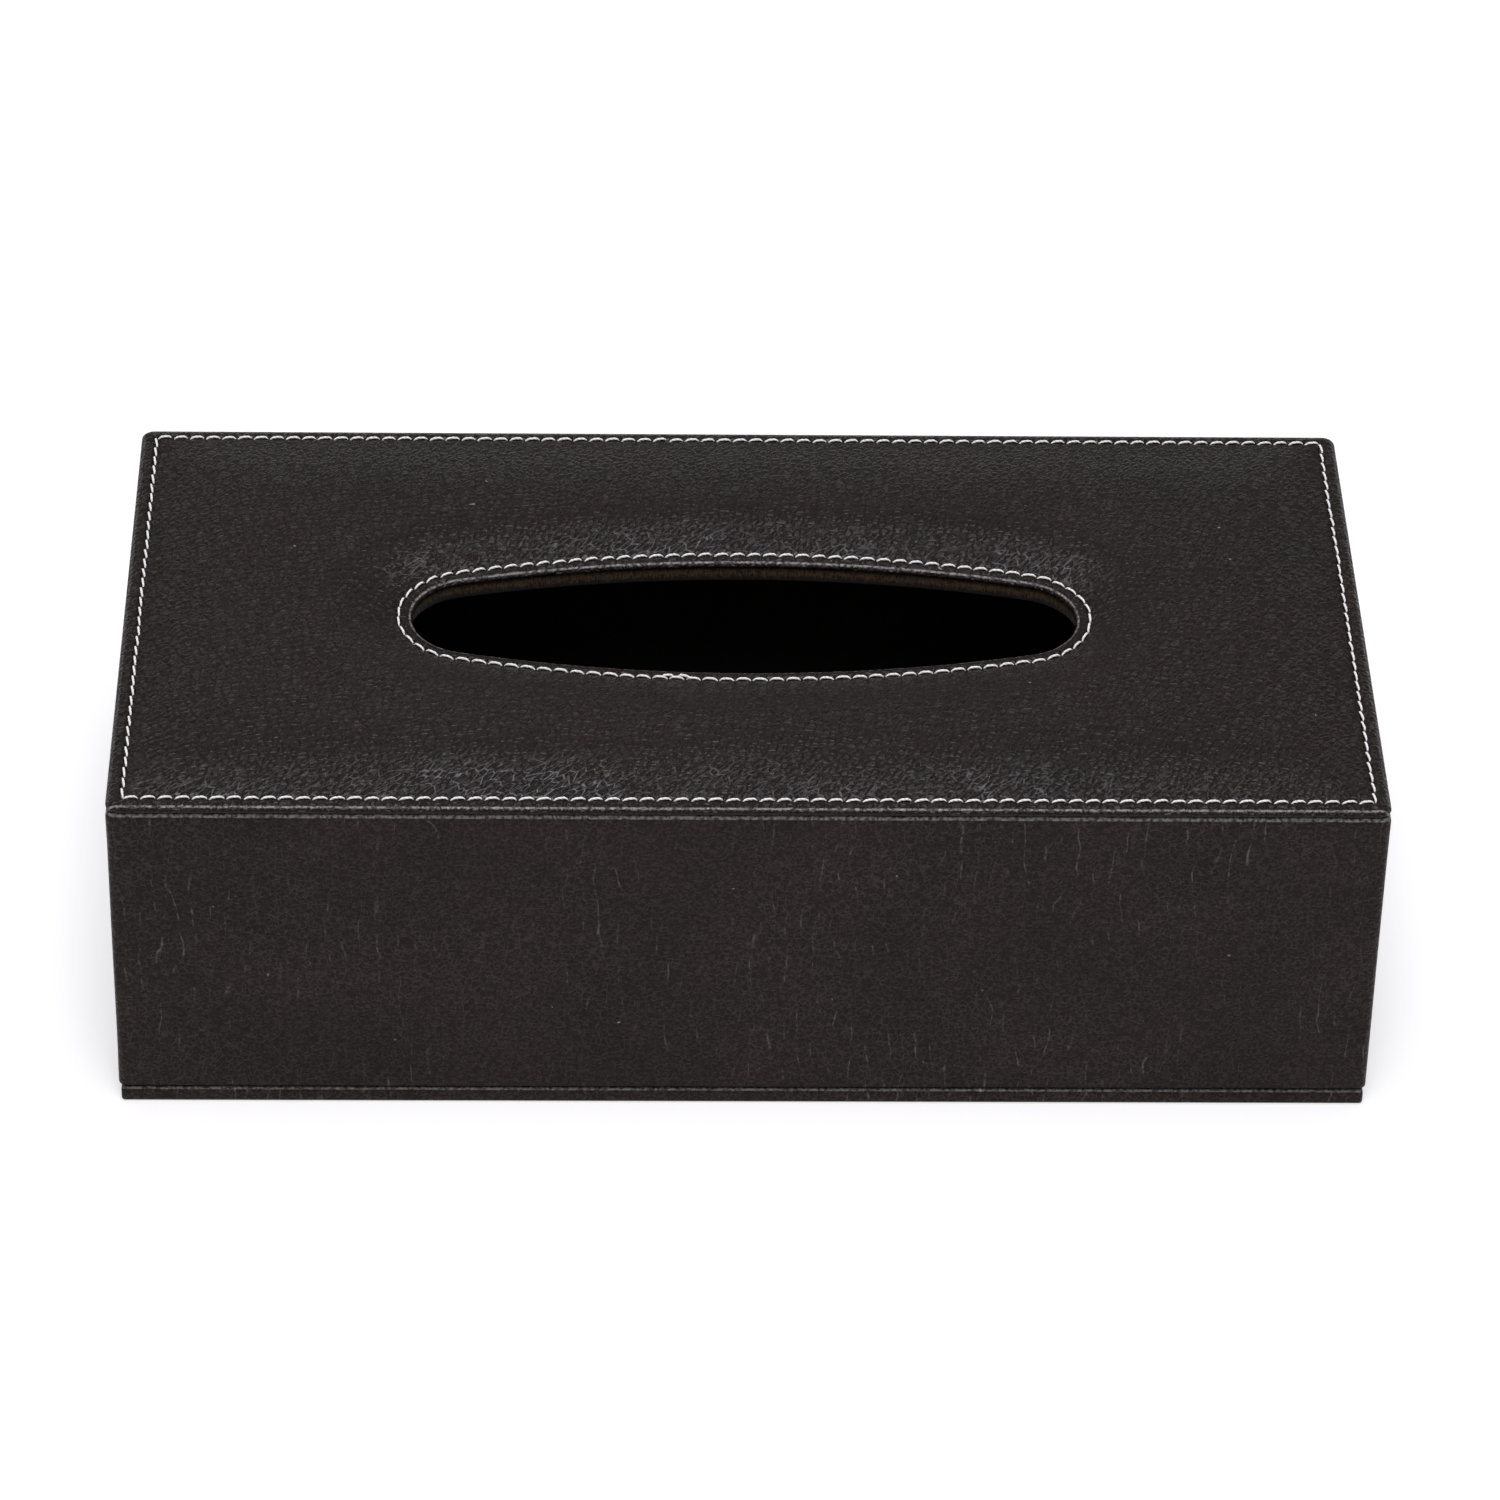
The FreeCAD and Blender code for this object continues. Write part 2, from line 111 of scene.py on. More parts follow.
# Oval slot
COLLAR_RECESS = 0.8 * MM
COLLAR_TAPE = 0.7 * MM
SLOT_HALF_LENGTH = collar_high.x - COLLAR_RECESS - COLLAR_TAPE
SLOT_HALF_WIDTH = collar_high.y - COLLAR_RECESS - COLLAR_TAPE
SLOT_END = 12.2 * MM
SLOT_REACH = SLOT_HALF_LENGTH - SLOT_END
SLOT_SIDE = (SLOT_REACH ** 2 + SLOT_HALF_WIDTH ** 2 - SLOT_END ** 2) / (2 * (SLOT_HALF_WIDTH - SLOT_END))
SLOT_DROP = SLOT_SIDE - SLOT_HALF_WIDTH
SLOT_SPREAD = math.atan2(SLOT_REACH, SLOT_DROP)  # half angle of each long side

# Stitches
STITCH_PITCH = 3.34 * MM
STITCH_GAP = 0.34 * MM
STITCH_SLANT = math.radians(9)
STITCH_SAMPLES = 5  # panel points along each stitch of the edge seam

# Walls, base and hinge
WALL_ROUND = 1.5 * MM
WALL_FOOT = 0.6 * MM  # rounding of the walls' lower edge
HEM_INSET = 5.4 * MM
HEM_HEIGHT = 10 * MM
BASE_HEM = 10 * MM
HINGE_BRIDGE = 0.05 * MM

TINY = 0.001 * MM  # allowance where places are compared

# Direction of travel along the front, right, rear and left sides
ALONG = ((1, 0), (0, 1), (-1, 0), (0, -1))


# Meshes

def signed_volume(points, quads):
    """Volume inside a closed mesh, negative where its faces look inwards."""
    a, b, c, d = (points[quads[:, corner]] for corner in range(4))
    return (a * (np.cross(b, c) + np.cross(c, d))).sum() / 6


def linked(name, data):
    """A new object in the scene."""
    thing = bpy.data.objects.new(name, data)
    bpy.context.scene.collection.objects.link(thing)
    return thing


def add_mesh(name, points, quads, caps, material, body, node):
    """A smooth piece that stands for a node; its faces look outwards."""
    if signed_volume(points, quads) < 0:
        quads = quads[:, ::-1]
        caps = [cap[::-1] for cap in caps]
    mesh = bpy.data.meshes.new(name)
    mesh.from_pydata(points.tolist(), [], quads.tolist() + caps)
    mesh.validate()
    mesh.shade_smooth()
    mesh.materials.append(material)
    piece = linked(name, mesh)
    if body:
        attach(piece, body)
    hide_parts(node)
    return piece


def ring_faces(ring_count, ring_size, closed):
    """Quads between neighbouring rings; where closed, the last ring joins the first."""
    last = ring_count if closed else ring_count - 1
    here = np.arange(last)[:, None] * ring_size
    there = (np.arange(last)[:, None] + 1) % ring_count * ring_size
    this = np.arange(ring_size)[None, :]
    following = (this + 1) % ring_size
    return np.stack([here + this, here + following, there + following, there + this], axis=-1).reshape(-1, 4)


def end_caps(ring_count, ring_size):
    """Faces that close the first and the last ring."""
    last = (ring_count - 1) * ring_size
    return [list(range(ring_size))[::-1], list(range(last, last + ring_size))]


def ring_piece(name, rings, closed, material, body, node):
    """A piece through rings of equally many points, closed on itself or capped at both ends."""
    rings = np.asarray(rings)
    count, size = rings.shape[:2]
    quads = ring_faces(count, size, closed)
    caps = [] if closed else end_caps(count, size)
    return add_mesh(name, rings.reshape(-1, 3), quads, caps, material, body, node)


def at_level(ring, level):
    """A ring of plan points, lifted to one level or to a level for each point."""
    return np.column_stack([ring, np.broadcast_to(level, len(ring))])


def quarter(steps):
    """Angles through a quarter turn, without the first."""
    return [math.pi / 2 * step / steps for step in range(1, steps + 1)]


def smooth_step(value):
    value = np.clip(value, 0, 1)
    return value * value * (3 - 2 * value)


def low_noise(x, y, size, seed):
    """Gentle waves about as long as a size, from -1 to 1."""
    return np.array([noise.noise((a / size, b / size, seed)) for a, b in zip(x, y)])


# Plan outlines

def beside(along, forth, aside):
    """The plan point at a distance along a side's direction and a distance out from the middle."""
    return along[0] * forth + along[1] * aside, along[1] * forth - along[0] * aside


def rectangle_ring(half_x, half_y, radius, spots, arc_steps, middle_y=0.0):
    """Points round a rounded rectangle, anticlockwise from the front side's left end. The spots say where
    points lie along a long and a short side, from -1 to 1."""
    points = []
    for side, along in enumerate(ALONG):
        half_along, half_out = (half_x, half_y) if side % 2 == 0 else (half_y, half_x)
        run = half_along - radius
        for spot in spots[side % 2]:
            points.append(beside(along, run * spot, half_out))
        for step in range(1, arc_steps):
            angle = math.pi / 2 * step / arc_steps
            forth = run + radius * math.sin(angle)
            aside = half_out - radius + radius * math.cos(angle)
            points.append(beside(along, forth, aside))
    return np.array(points) + (0.0, middle_y)


def slot_arcs(growth):
    """Centre, radius, first angle and turn of the slot's four arcs, anticlockwise from the near side."""
    side = SLOT_SIDE + growth
    end = SLOT_END + growth
    end_turn = math.pi - 2 * SLOT_SPREAD
    return (
        ((0.0, SLOT_DROP), side, -math.pi / 2 - SLOT_SPREAD, 2 * SLOT_SPREAD),
        ((SLOT_REACH, 0.0), end, -math.pi / 2 + SLOT_SPREAD, end_turn),
        ((0.0, -SLOT_DROP), side, math.pi / 2 - SLOT_SPREAD, 2 * SLOT_SPREAD),
        ((-SLOT_REACH, 0.0), end, math.pi / 2 + SLOT_SPREAD, end_turn),
    )


def slot_ring(growth, counts, shift=0):
    """Points round the slot grown by a distance, and how far along the slot seam each of them is."""
    points = []
    travel = []
    start = 0.0
    seam_arcs = slot_arcs(SLOT_SEAM_INSET)
    for (centre, radius, first, turn), seam_arc, count in zip(slot_arcs(growth), seam_arcs, counts * 2):
        for step in range(count):
            angle = first + turn * step / count
            points.append((centre[0] + radius * math.cos(angle), centre[1] + radius * math.sin(angle)))
            travel.append(start + seam_arc[1] * turn * step / count)
        start += seam_arc[1] * turn
    return np.roll(points, -shift, axis=0), np.roll(travel, -shift)


def slot_length(growth):
    return sum(radius * turn for _, radius, _, turn in slot_arcs(growth))


def slot_spot(travel, growth):
    """The point at a distance along the slot's outline grown by a distance, and the heading there."""
    travel %= slot_length(growth)
    for centre, radius, first, turn in slot_arcs(growth):
        if travel <= radius * turn:
            break
        travel -= radius * turn
    angle = first + travel / radius
    return centre[0] + radius * math.cos(angle), centre[1] + radius * math.sin(angle), angle + math.pi / 2


def slot_distance(x, y):
    """Distance outside the slot's opening."""
    across = np.abs(x)
    along = np.abs(y)
    from_end = np.hypot(across - SLOT_REACH, along) - SLOT_END
    from_side = np.hypot(across, along + SLOT_DROP) - SLOT_SIDE
    at_end = SLOT_REACH * along < SLOT_DROP * (across - SLOT_REACH)
    return np.where(at_end, from_end, from_side)


# Sewn top panel

def edge_distance(x, y):
    """Distance inside the panel's outer edge, rounded along the diagonals."""
    from_x = HALF_LENGTH - np.abs(x)
    from_y = HALF_DEPTH - np.abs(y)
    overlap = np.clip(CORNER_BLEND - np.abs(from_x - from_y), 0, None) / CORNER_BLEND
    return np.minimum(from_x, from_y) - overlap ** 2 * CORNER_BLEND / 4


def swell(distance, run):
    return np.sin(math.pi / 2 * np.clip(distance / run, 0, 1))


def panel_height(x, y):
    """The padded face without its stitch marks: a crown inside the edge seam and a dip to the slot's seam."""
    up = swell(edge_distance(x, y) - SEAM_INSET - SEAM_FLAT, CROWN_RUN)
    crown = SEAM_LEVEL + (CROWN_LEVEL - SEAM_LEVEL) * up
    out = swell(slot_distance(x, y) - SLOT_SEAM_INSET - SEAM_FLAT, SLOT_RUN)
    waves = SWELL_WAVES * low_noise(x, y, SWELL_SIZE, SWELL_SEED) * up * out
    return SLOT_SEAM_LEVEL + (crown - SLOT_SEAM_LEVEL) * out + waves - SWELL_WAVES * up * out


def seam_marks(distance, phase):
    """What a seam does to the leather at a distance from its line: groove, needle holes, ridge and puckers.
    Distance is positive towards the padded side, and phase counts stitches."""
    holes = 0.5 + 0.5 * np.cos(2 * math.pi * phase)
    groove = -GROOVE_DEPTH * np.exp(-(distance / GROOVE_WIDTH) ** 2)
    dimples = -DIMPLE_DEPTH * holes ** 3 * np.exp(-(distance / (0.6 * GROOVE_WIDTH)) ** 2)
    ridge = RIDGE_HEIGHT * np.exp(-((distance + RIDGE_OFFSET) / RIDGE_WIDTH) ** 2)
    puckers = -PUCKER * holes * np.exp(-np.abs(distance) / PUCKER_REACH)
    return groove + dimples + ridge + puckers


def seam_offsets(inside, outside):
    """Distances from a seam's line at which the panel has rings, close together near the line."""
    offsets = np.array((0.0, 0.2, 0.45, 0.75, 1.15, 1.7, 2.5, 3.6, 5.0, 6.8, 9.0)) * MM
    before = [-step for step in offsets[:0:-1] if step < inside]
    return np.array(before + [step for step in offsets if step <= outside])


def edge_phase(x, y):
    """Stitches counted along the nearest side of the edge seam."""
    half_x, half_y = SEAM_HALVES
    long_side = HALF_DEPTH - np.abs(y) < HALF_LENGTH - np.abs(x)
    along = np.where(long_side, (x + half_x) / (2 * half_x), (y + half_y) / (2 * half_y))
    counts = np.where(long_side, stitch_count(2 * half_x), stitch_count(2 * half_y))
    return np.clip(along, 0, 1) * counts


def stitch_count(length):
    return round(length / STITCH_PITCH)


PANEL_SPOTS = tuple(
    np.linspace(-1, 1, stitch_count(2 * half) * STITCH_SAMPLES + 1) for half in SEAM_HALVES
)
PANEL_ARC = 6
SLOT_COUNTS = tuple(len(spots) + PANEL_ARC - 1 for spots in PANEL_SPOTS)
SPAN_RINGS = 18
SPAN_DRIFT = 12 * MM  # how far the blended rings keep growing from either side


def panel_edge_ring(inset):
    """The panel's outline, drawn in by a distance; its corners are sharpest at the seam."""
    radius = TOP_CORNER - inset
    if inset > SEAM_INSET:
        radius = 0.5 * (inset - SEAM_INSET)
    radius = max(radius, SMALLEST_CORNER)
    return rectangle_ring(HALF_LENGTH - inset, HALF_DEPTH - inset, radius, PANEL_SPOTS, PANEL_ARC)


def panel_slot_ring(growth):
    return slot_ring(growth, SLOT_COUNTS, PANEL_ARC // 2)


def edge_rings(steps):
    """The panel's outline at pairs of inset and level."""
    return [at_level(panel_edge_ring(inset), level) for inset, level in steps]


def lip_rings(steps):
    """The slot's outline at pairs of growth and level."""
    return [at_level(panel_slot_ring(growth)[0], level) for growth, level in steps]


def panel_face(lowered, lip, edge):
    """Rings of the padded face from the slot's lip to the outer edge, lowered by a distance."""
    rings = []
    pitch = slot_length(SLOT_SEAM_INSET) / stitch_count(slot_length(SLOT_SEAM_INSET))
    offsets = seam_offsets(SLOT_SEAM_INSET - lip, SEAM_REACH)
    for growth in [lip, *(SLOT_SEAM_INSET + offsets)]:
        ring, travel = panel_slot_ring(growth)
        level = panel_height(*ring.T) + seam_marks(growth - SLOT_SEAM_INSET, travel / pitch)
        rings.append(at_level(ring, level - lowered))
    last_growth = SLOT_SEAM_INSET + SEAM_REACH
    last_inset = SEAM_INSET + SEAM_REACH
    for share in np.linspace(0, 1, SPAN_RINGS + 2)[1:-1]:
        inner = panel_slot_ring(last_growth + SPAN_DRIFT * share)[0]
        outer = panel_edge_ring(last_inset + SPAN_DRIFT * (1 - share))
        ring = inner + (outer - inner) * smooth_step(share)
        rings.append(at_level(ring, panel_height(*ring.T) - lowered))
    offsets = seam_offsets(SEAM_INSET - edge, SEAM_REACH)
    for inset in [*(SEAM_INSET + offsets[::-1]), edge]:
        ring = panel_edge_ring(inset)
        level = panel_height(*ring.T) + seam_marks(inset - SEAM_INSET, edge_phase(*ring.T))
        rings.append(at_level(ring, level - lowered))
    return rings


def roll_profile(run, top, bottom):
    """Distance in and level of each step down a rolled edge and round its curl, without the first."""
    low = bottom + CURL
    roll = [(run * (1 - math.sin(a)), low + (top - low) * math.cos(a)) for a in quarter(ROLL_STEPS)]
    return roll + [(CURL * (1 - math.cos(a)), low - CURL * math.sin(a)) for a in quarter(3)]


def make_top_cover(material):
    """The sewn skin: hem under the slot, lip, padded face, rolled edge and outer hem, and back inside."""
    outer = lip_rings([(SLOT_TURN_UNDER, BOARD_TOP), (SLOT_TURN_UNDER / 2, BOARD_TOP)])
    outer += lip_rings(roll_profile(LIP_RUN, SLOT_SEAM_LEVEL, BOARD_TOP)[::-1])
    outer += panel_face(0.0, LIP_RUN, EDGE_RUN)
    outer += edge_rings(roll_profile(EDGE_RUN, SEAM_LEVEL, PANEL_BOTTOM))
    outer += edge_rings([(TURN_UNDER / 2, PANEL_BOTTOM), (TURN_UNDER, PANEL_BOTTOM)])
    inner_edge = EDGE_RUN + INNER_STEP
    inner_lip = LIP_RUN + INNER_STEP
    low_edge = PANEL_BOTTOM + LEATHER / 2
    low_lip = BOARD_TOP + LEATHER / 2
    inner = edge_rings([(TURN_UNDER, low_edge), (inner_edge, low_edge)])
    inner += panel_face(LEATHER, inner_lip, inner_edge)[::-1]
    inner += lip_rings([(inner_lip, low_lip), (SLOT_TURN_UNDER, low_lip)])
    piece = ring_piece("top_cover", outer + inner, True, material, "case", "top_leather")
    return piece


def make_foam(material):
    """The thin foam inside the skin, thinnest along both seams."""
    edge = EDGE_RUN + 2 * INNER_STEP
    lip = LIP_RUN + 2 * INNER_STEP
    low_edge = PANEL_BOTTOM + LEATHER / 2 + FOAM_GAP
    low_lip = BOARD_TOP + LEATHER / 2 + FOAM_GAP
    past_hem = TURN_UNDER + 2 * FOAM_GAP
    past_slot_hem = SLOT_TURN_UNDER + 2 * FOAM_GAP
    rings = panel_face(LEATHER + FOAM_GAP, lip, edge)
    rings += edge_rings([(edge, low_edge), (past_hem, low_edge), (past_hem + 2 * FOAM_GAP, BOARD_TOP)])
    rings += lip_rings([(past_slot_hem + 2 * FOAM_GAP, BOARD_TOP), (past_slot_hem, low_lip), (lip, low_lip)])
    piece = ring_piece("top_foam", rings, True, material, "case", "top_foam_pad")
    return piece


# Stitches

STRANDS = 3
STRAND_SIDES = 6
STRAND_RINGS = 13
STRAND_RADIUS = 0.165 * MM
STRAND_OFFSET = 0.095 * MM
THREAD_RISE = 0.2 * MM
THREAD_DIVE = 0.6 * MM
TWIST_TURNS = 1.15
UNEVEN_LENGTH = (0.96, 1.04)
UNEVEN_HEADING = 1.6  # degrees
UNEVEN_LINE = 0.05  # millimetres off the seam's line



def stitch_points(half, first_turn):
    """One stitch along the X axis: three twisted strands in an arch whose ends dive into the leather."""
    strands = []
    for strand in range(STRANDS):
        rings = []
        for step in range(STRAND_RINGS):
            share = 2 * step / (STRAND_RINGS - 1) - 1
            height = THREAD_RISE - THREAD_DIVE * abs(share) ** 3.5
            slim = 1 - 0.3 * abs(share) ** 3
            turn = 2 * math.pi * (strand / STRANDS + first_turn + TWIST_TURNS * share / 2)
            middle_y = STRAND_OFFSET * slim * math.cos(turn)
            middle_z = height + STRAND_OFFSET * slim * math.sin(turn)
            for corner in range(STRAND_SIDES):
                angle = 2 * math.pi * corner / STRAND_SIDES
                radius = STRAND_RADIUS * slim
                y = middle_y + radius * math.cos(angle)
                rings.append((half * share, y, middle_z + radius * math.sin(angle)))
        strands.append(rings)
    return np.array(strands).reshape(-1, 3)


def make_stitching(name, places, material, node):
    """A row of stitches: each place gives the middle, heading and length."""
    chance = random.Random(SEED)
    quads = ring_faces(STRAND_RINGS, STRAND_SIDES, False)
    caps = end_caps(STRAND_RINGS, STRAND_SIDES)
    points = []
    all_quads = []
    all_caps = []
    size = STRAND_RINGS * STRAND_SIDES
    for x, y, z, heading, length in places:
        half = (length - STITCH_GAP) / 2 * chance.uniform(*UNEVEN_LENGTH)
        shape = stitch_points(half, chance.random())
        turn = heading + math.radians(chance.gauss(0, UNEVEN_HEADING))
        aside = chance.gauss(0, UNEVEN_LINE) * MM
        place = Matrix.Translation((x - aside * math.sin(turn), y + aside * math.cos(turn), z))
        place = np.array(place @ Matrix.Rotation(turn, 4, "Z"))
        for strand in range(STRANDS):
            first = (len(points) * STRANDS + strand) * size
            all_quads.append(quads + first)
            all_caps += [[first + corner for corner in cap] for cap in caps]
        points.append(shape @ place[:3, :3].T + place[:3, 3])
    points = np.concatenate(points)
    return add_mesh(name, points, np.concatenate(all_quads), all_caps, material, "case", node)


def groove_level(seam_level):
    """Where the thread lies: on the floor of the seam's groove."""
    return seam_level - 0.6 * GROOVE_DEPTH


def make_edge_stitching(material):
    places = []
    for side, along in enumerate(ALONG):
        half_along, half_out = SEAM_HALVES if side % 2 == 0 else SEAM_HALVES[::-1]
        count = stitch_count(2 * half_along)
        pitch = 2 * half_along / count
        heading = math.atan2(along[1], along[0]) + STITCH_SLANT
        for step in range(count):
            spot = -half_along + (step + 0.5) * pitch
            places.append((*beside(along, spot, half_out), groove_level(SEAM_LEVEL), heading, pitch))
    return make_stitching("edge_stitching", places, material, "top_seam_stitches")


LOCK_TRAVEL = 43 * MM  # along the slot seam, where its two ends are sewn over each other
LOCK_INSET = 0.25 * MM  # from the seam's line towards the slot
LOCK_RISE = 0.3 * MM
LOCK_LENGTH = 0.9  # of the stitch pitch


def make_slot_stitching(material):
    length = slot_length(SLOT_SEAM_INSET)
    count = stitch_count(length)
    pitch = length / count
    places = []
    for step in range(count):
        x, y, heading = slot_spot((step + 0.5) * pitch, SLOT_SEAM_INSET)
        slant = STITCH_SLANT * (0.35 + 0.75 * y / SLOT_HALF_WIDTH)
        places.append((x, y, groove_level(SLOT_SEAM_LEVEL), heading + slant, pitch))
    for step in (0, 1):
        x, y, heading = slot_spot(LOCK_TRAVEL + step * pitch, SLOT_SEAM_INSET - LOCK_INSET)
        turned = heading + STITCH_SLANT * (0.6 - 2.2 * step)
        places.append((x, y, groove_level(SLOT_SEAM_LEVEL) + LOCK_RISE, turned, LOCK_LENGTH * pitch))
    return make_stitching("slot_stitching", places, material, "slot_seam_stitches")


# Slot collar

RIB_PITCH = 1.1 * MM
RIB_SAMPLES = 4
RIB_DEPTH = 0.07 * MM


def make_collar(material):
    """Ribbed tape round the slot's cut edge, with a soft upper and lower edge."""
    top = collar_high.z
    bottom = collar_low.z
    side_count = round(SLOT_SIDE * 2 * SLOT_SPREAD / RIB_PITCH) * RIB_SAMPLES
    end_count = round(SLOT_END * (math.pi - 2 * SLOT_SPREAD) / RIB_PITCH) * RIB_SAMPLES
    counts = (side_count, end_count)
    soft = 0.25 * MM
    tuck = 0.6 * MM
    front = [(soft, bottom), (0.08 * MM, bottom + 0.08 * MM)]
    front += [(0.0, level) for level in np.linspace(bottom + soft, top - tuck, 7)]
    front += [(tuck * (1 - math.cos(a)), top - tuck * (1 - math.sin(a))) for a in quarter(4)]
    back = [(COLLAR_TAPE, top), (COLLAR_TAPE, (top + bottom) / 2), (COLLAR_TAPE, bottom)]
    rings = []
    for depth, level in front + back:
        ring = slot_ring(COLLAR_RECESS + depth, counts)[0]
        if depth < soft / 2:
            ribs = 0.5 - 0.5 * np.cos(2 * math.pi * np.arange(len(ring)) / RIB_SAMPLES)
            sunk = slot_ring(COLLAR_RECESS + depth + RIB_DEPTH, counts)[0]
            ring = ring + (sunk - ring) * ribs[:, None]
        rings.append(at_level(ring, level))
    return ring_piece("slot_collar_tape", rings, True, material, "case", "slot_collar")


# Wall leather

HINGE_SPOT = hinge_high.x / (HALF_LENGTH - WALL_ROUND)
HINGE_STEP = 0.02 * MM / (HALF_LENGTH - WALL_ROUND)
NOTCH_SPOTS = [side * (HINGE_SPOT + step) for side in (-1, 1) for step in (0.0, HINGE_STEP)]
WALL_SPOTS = (np.unique(np.concatenate([np.linspace(-1, 1, 127), NOTCH_SPOTS])), np.linspace(-1, 1, 67))
WALL_ARC = 6
WALL_ROWS = 32
WALL_WAVES = 0.07 * MM
WALL_WAVE_SIZE = 38 * MM
WALL_WAVE_SEED = 5.7
WALL_CALM = 8 * MM  # how far from the upper and lower edges the waves fade


def wall_profiles():
    """Inset and level of each ring, for the hemmed walls, the rear corners and the run over the hinge."""
    round_top = PANEL_BOTTOM - WALL_ROUND
    round_bottom = WALL_BOTTOM + WALL_FOOT
    shared = [(inset, PANEL_BOTTOM) for inset in (TURN_UNDER, 6 * MM, 3 * MM, WALL_ROUND)]
    for angle in quarter(6):
        shared.append((WALL_ROUND * (1 - math.sin(angle)), round_top + WALL_ROUND * math.cos(angle)))
    shares = [row / WALL_ROWS for row in range(1, WALL_ROWS + 1)]
    down = [(0.0, round_top + (round_bottom - round_top) * share) for share in shares]
    down_short = [(0.0, round_top + (hinge_high.z - round_top) * share) for share in shares]
    turn = [(WALL_FOOT * (1 - math.cos(a)), round_bottom - WALL_FOOT * math.sin(a)) for a in quarter(6)]
    hem_back = HEM_INSET - LEATHER
    hem = [
        (3 * MM, 0.0), (4.9 * MM, 0.0), (5.25 * MM, 0.15 * MM), (HEM_INSET, 0.5 * MM),
        (HEM_INSET, HEM_HEIGHT / 2), (HEM_INSET, HEM_HEIGHT - 0.2 * MM), (HEM_INSET - 0.1 * MM, HEM_HEIGHT),
        (hem_back + 0.1 * MM, HEM_HEIGHT), (hem_back, HEM_HEIGHT - 0.2 * MM), (hem_back, LEATHER),
    ]
    hem = [(inset, WALL_BOTTOM + rise) for inset, rise in hem]
    fold = [(WALL_ROUND, WALL_BOTTOM + LEATHER * (step + 1) / (len(hem) + 1)) for step in range(len(hem))]
    lower = len(turn) + len(hem)
    cut = [(LEATHER * (step + 1) / (lower + 1), hinge_high.z) for step in range(lower)]
    soft = WALL_ROUND - (WALL_ROUND - LEATHER) * math.sqrt(0.5)
    inner_low = [
        (WALL_ROUND, WALL_BOTTOM + LEATHER), (soft, WALL_BOTTOM + soft), (LEATHER, WALL_BOTTOM + WALL_ROUND),
    ]
    inner_cut = [(LEATHER, hinge_high.z + 0.03 * MM * step) for step in range(len(inner_low))]
    inner_high = [
        (LEATHER, (round_top + round_bottom) / 2), (LEATHER, round_top), (soft, PANEL_BOTTOM - soft),
        (WALL_ROUND, PANEL_BOTTOM - LEATHER), (TURN_UNDER, PANEL_BOTTOM - LEATHER),
    ]
    return (
        shared + down + turn + hem + inner_low + inner_high,
        shared + down + turn + fold + inner_low + inner_high,
        shared + down_short + cut + inner_cut + inner_high,
    )


def along_web(outline, rear):
    """Which points of an outline lie on its rear side, within the hinge web's length."""
    return (outline[:, 1] > rear - TINY) & (np.abs(outline[:, 0]) < hinge_high.x + TINY)


def wall_ring(inset):
    radius = max(WALL_ROUND - inset, SMALLEST_CORNER)
    return rectangle_ring(HALF_LENGTH - inset, HALF_DEPTH - inset, radius, WALL_SPOTS, WALL_ARC)


def make_wall_cover(material):
    """The leather round the four walls: turned over at the top, hemmed below and cut short over the hinge."""
    outline = wall_ring(0.0)
    at_rear = outline[:, 1] > HALF_DEPTH - WALL_ROUND + TINY
    over_hinge = along_web(outline, HALF_DEPTH)
    outward = outline - wall_ring(0.5 * MM)
    outward /= np.linalg.norm(outward, axis=1)[:, None]
    around = np.cumsum(np.linalg.norm(np.roll(outline, -1, axis=0) - outline, axis=1))
    rings = []
    for hemmed, folded, short in zip(*wall_profiles()):
        ring = at_level(wall_ring(hemmed[0]), hemmed[1])
        ring[at_rear] = at_level(wall_ring(folded[0]), folded[1])[at_rear]
        ring[over_hinge] = at_level(wall_ring(short[0]), short[1])[over_hinge]
        if hemmed[0] == 0.0:
            calm = smooth_step((PANEL_BOTTOM - WALL_ROUND - hemmed[1]) / WALL_CALM)
            calm *= smooth_step((hemmed[1] - hinge_high.z) / WALL_CALM)
            waves = low_noise(around, np.full(len(ring), hemmed[1]), WALL_WAVE_SIZE, WALL_WAVE_SEED) - 1
            ring[:, :2] += outward * (WALL_WAVES * calm * waves)[:, None]
        rings.append(ring)
    return ring_piece("wall_cover", rings, True, material, "case", "wall_leather")


# Base

BASE_SPOTS = (np.unique(np.concatenate([np.linspace(-1, 1, 64), NOTCH_SPOTS])), np.linspace(-1, 1, 34))
BASE_ARC = 4
BASE_INSETS = (20 * MM, 40 * MM, 60 * MM)


def base_ring(inset):
    half_x = base_high.x - inset
    half_y = (base_high.y - base_low.y) / 2 - inset
    radius = max(LEATHER - inset, SMALLEST_CORNER)
    return rectangle_ring(half_x, half_y, radius, BASE_SPOTS, BASE_ARC, (base_high.y + base_low.y) / 2)


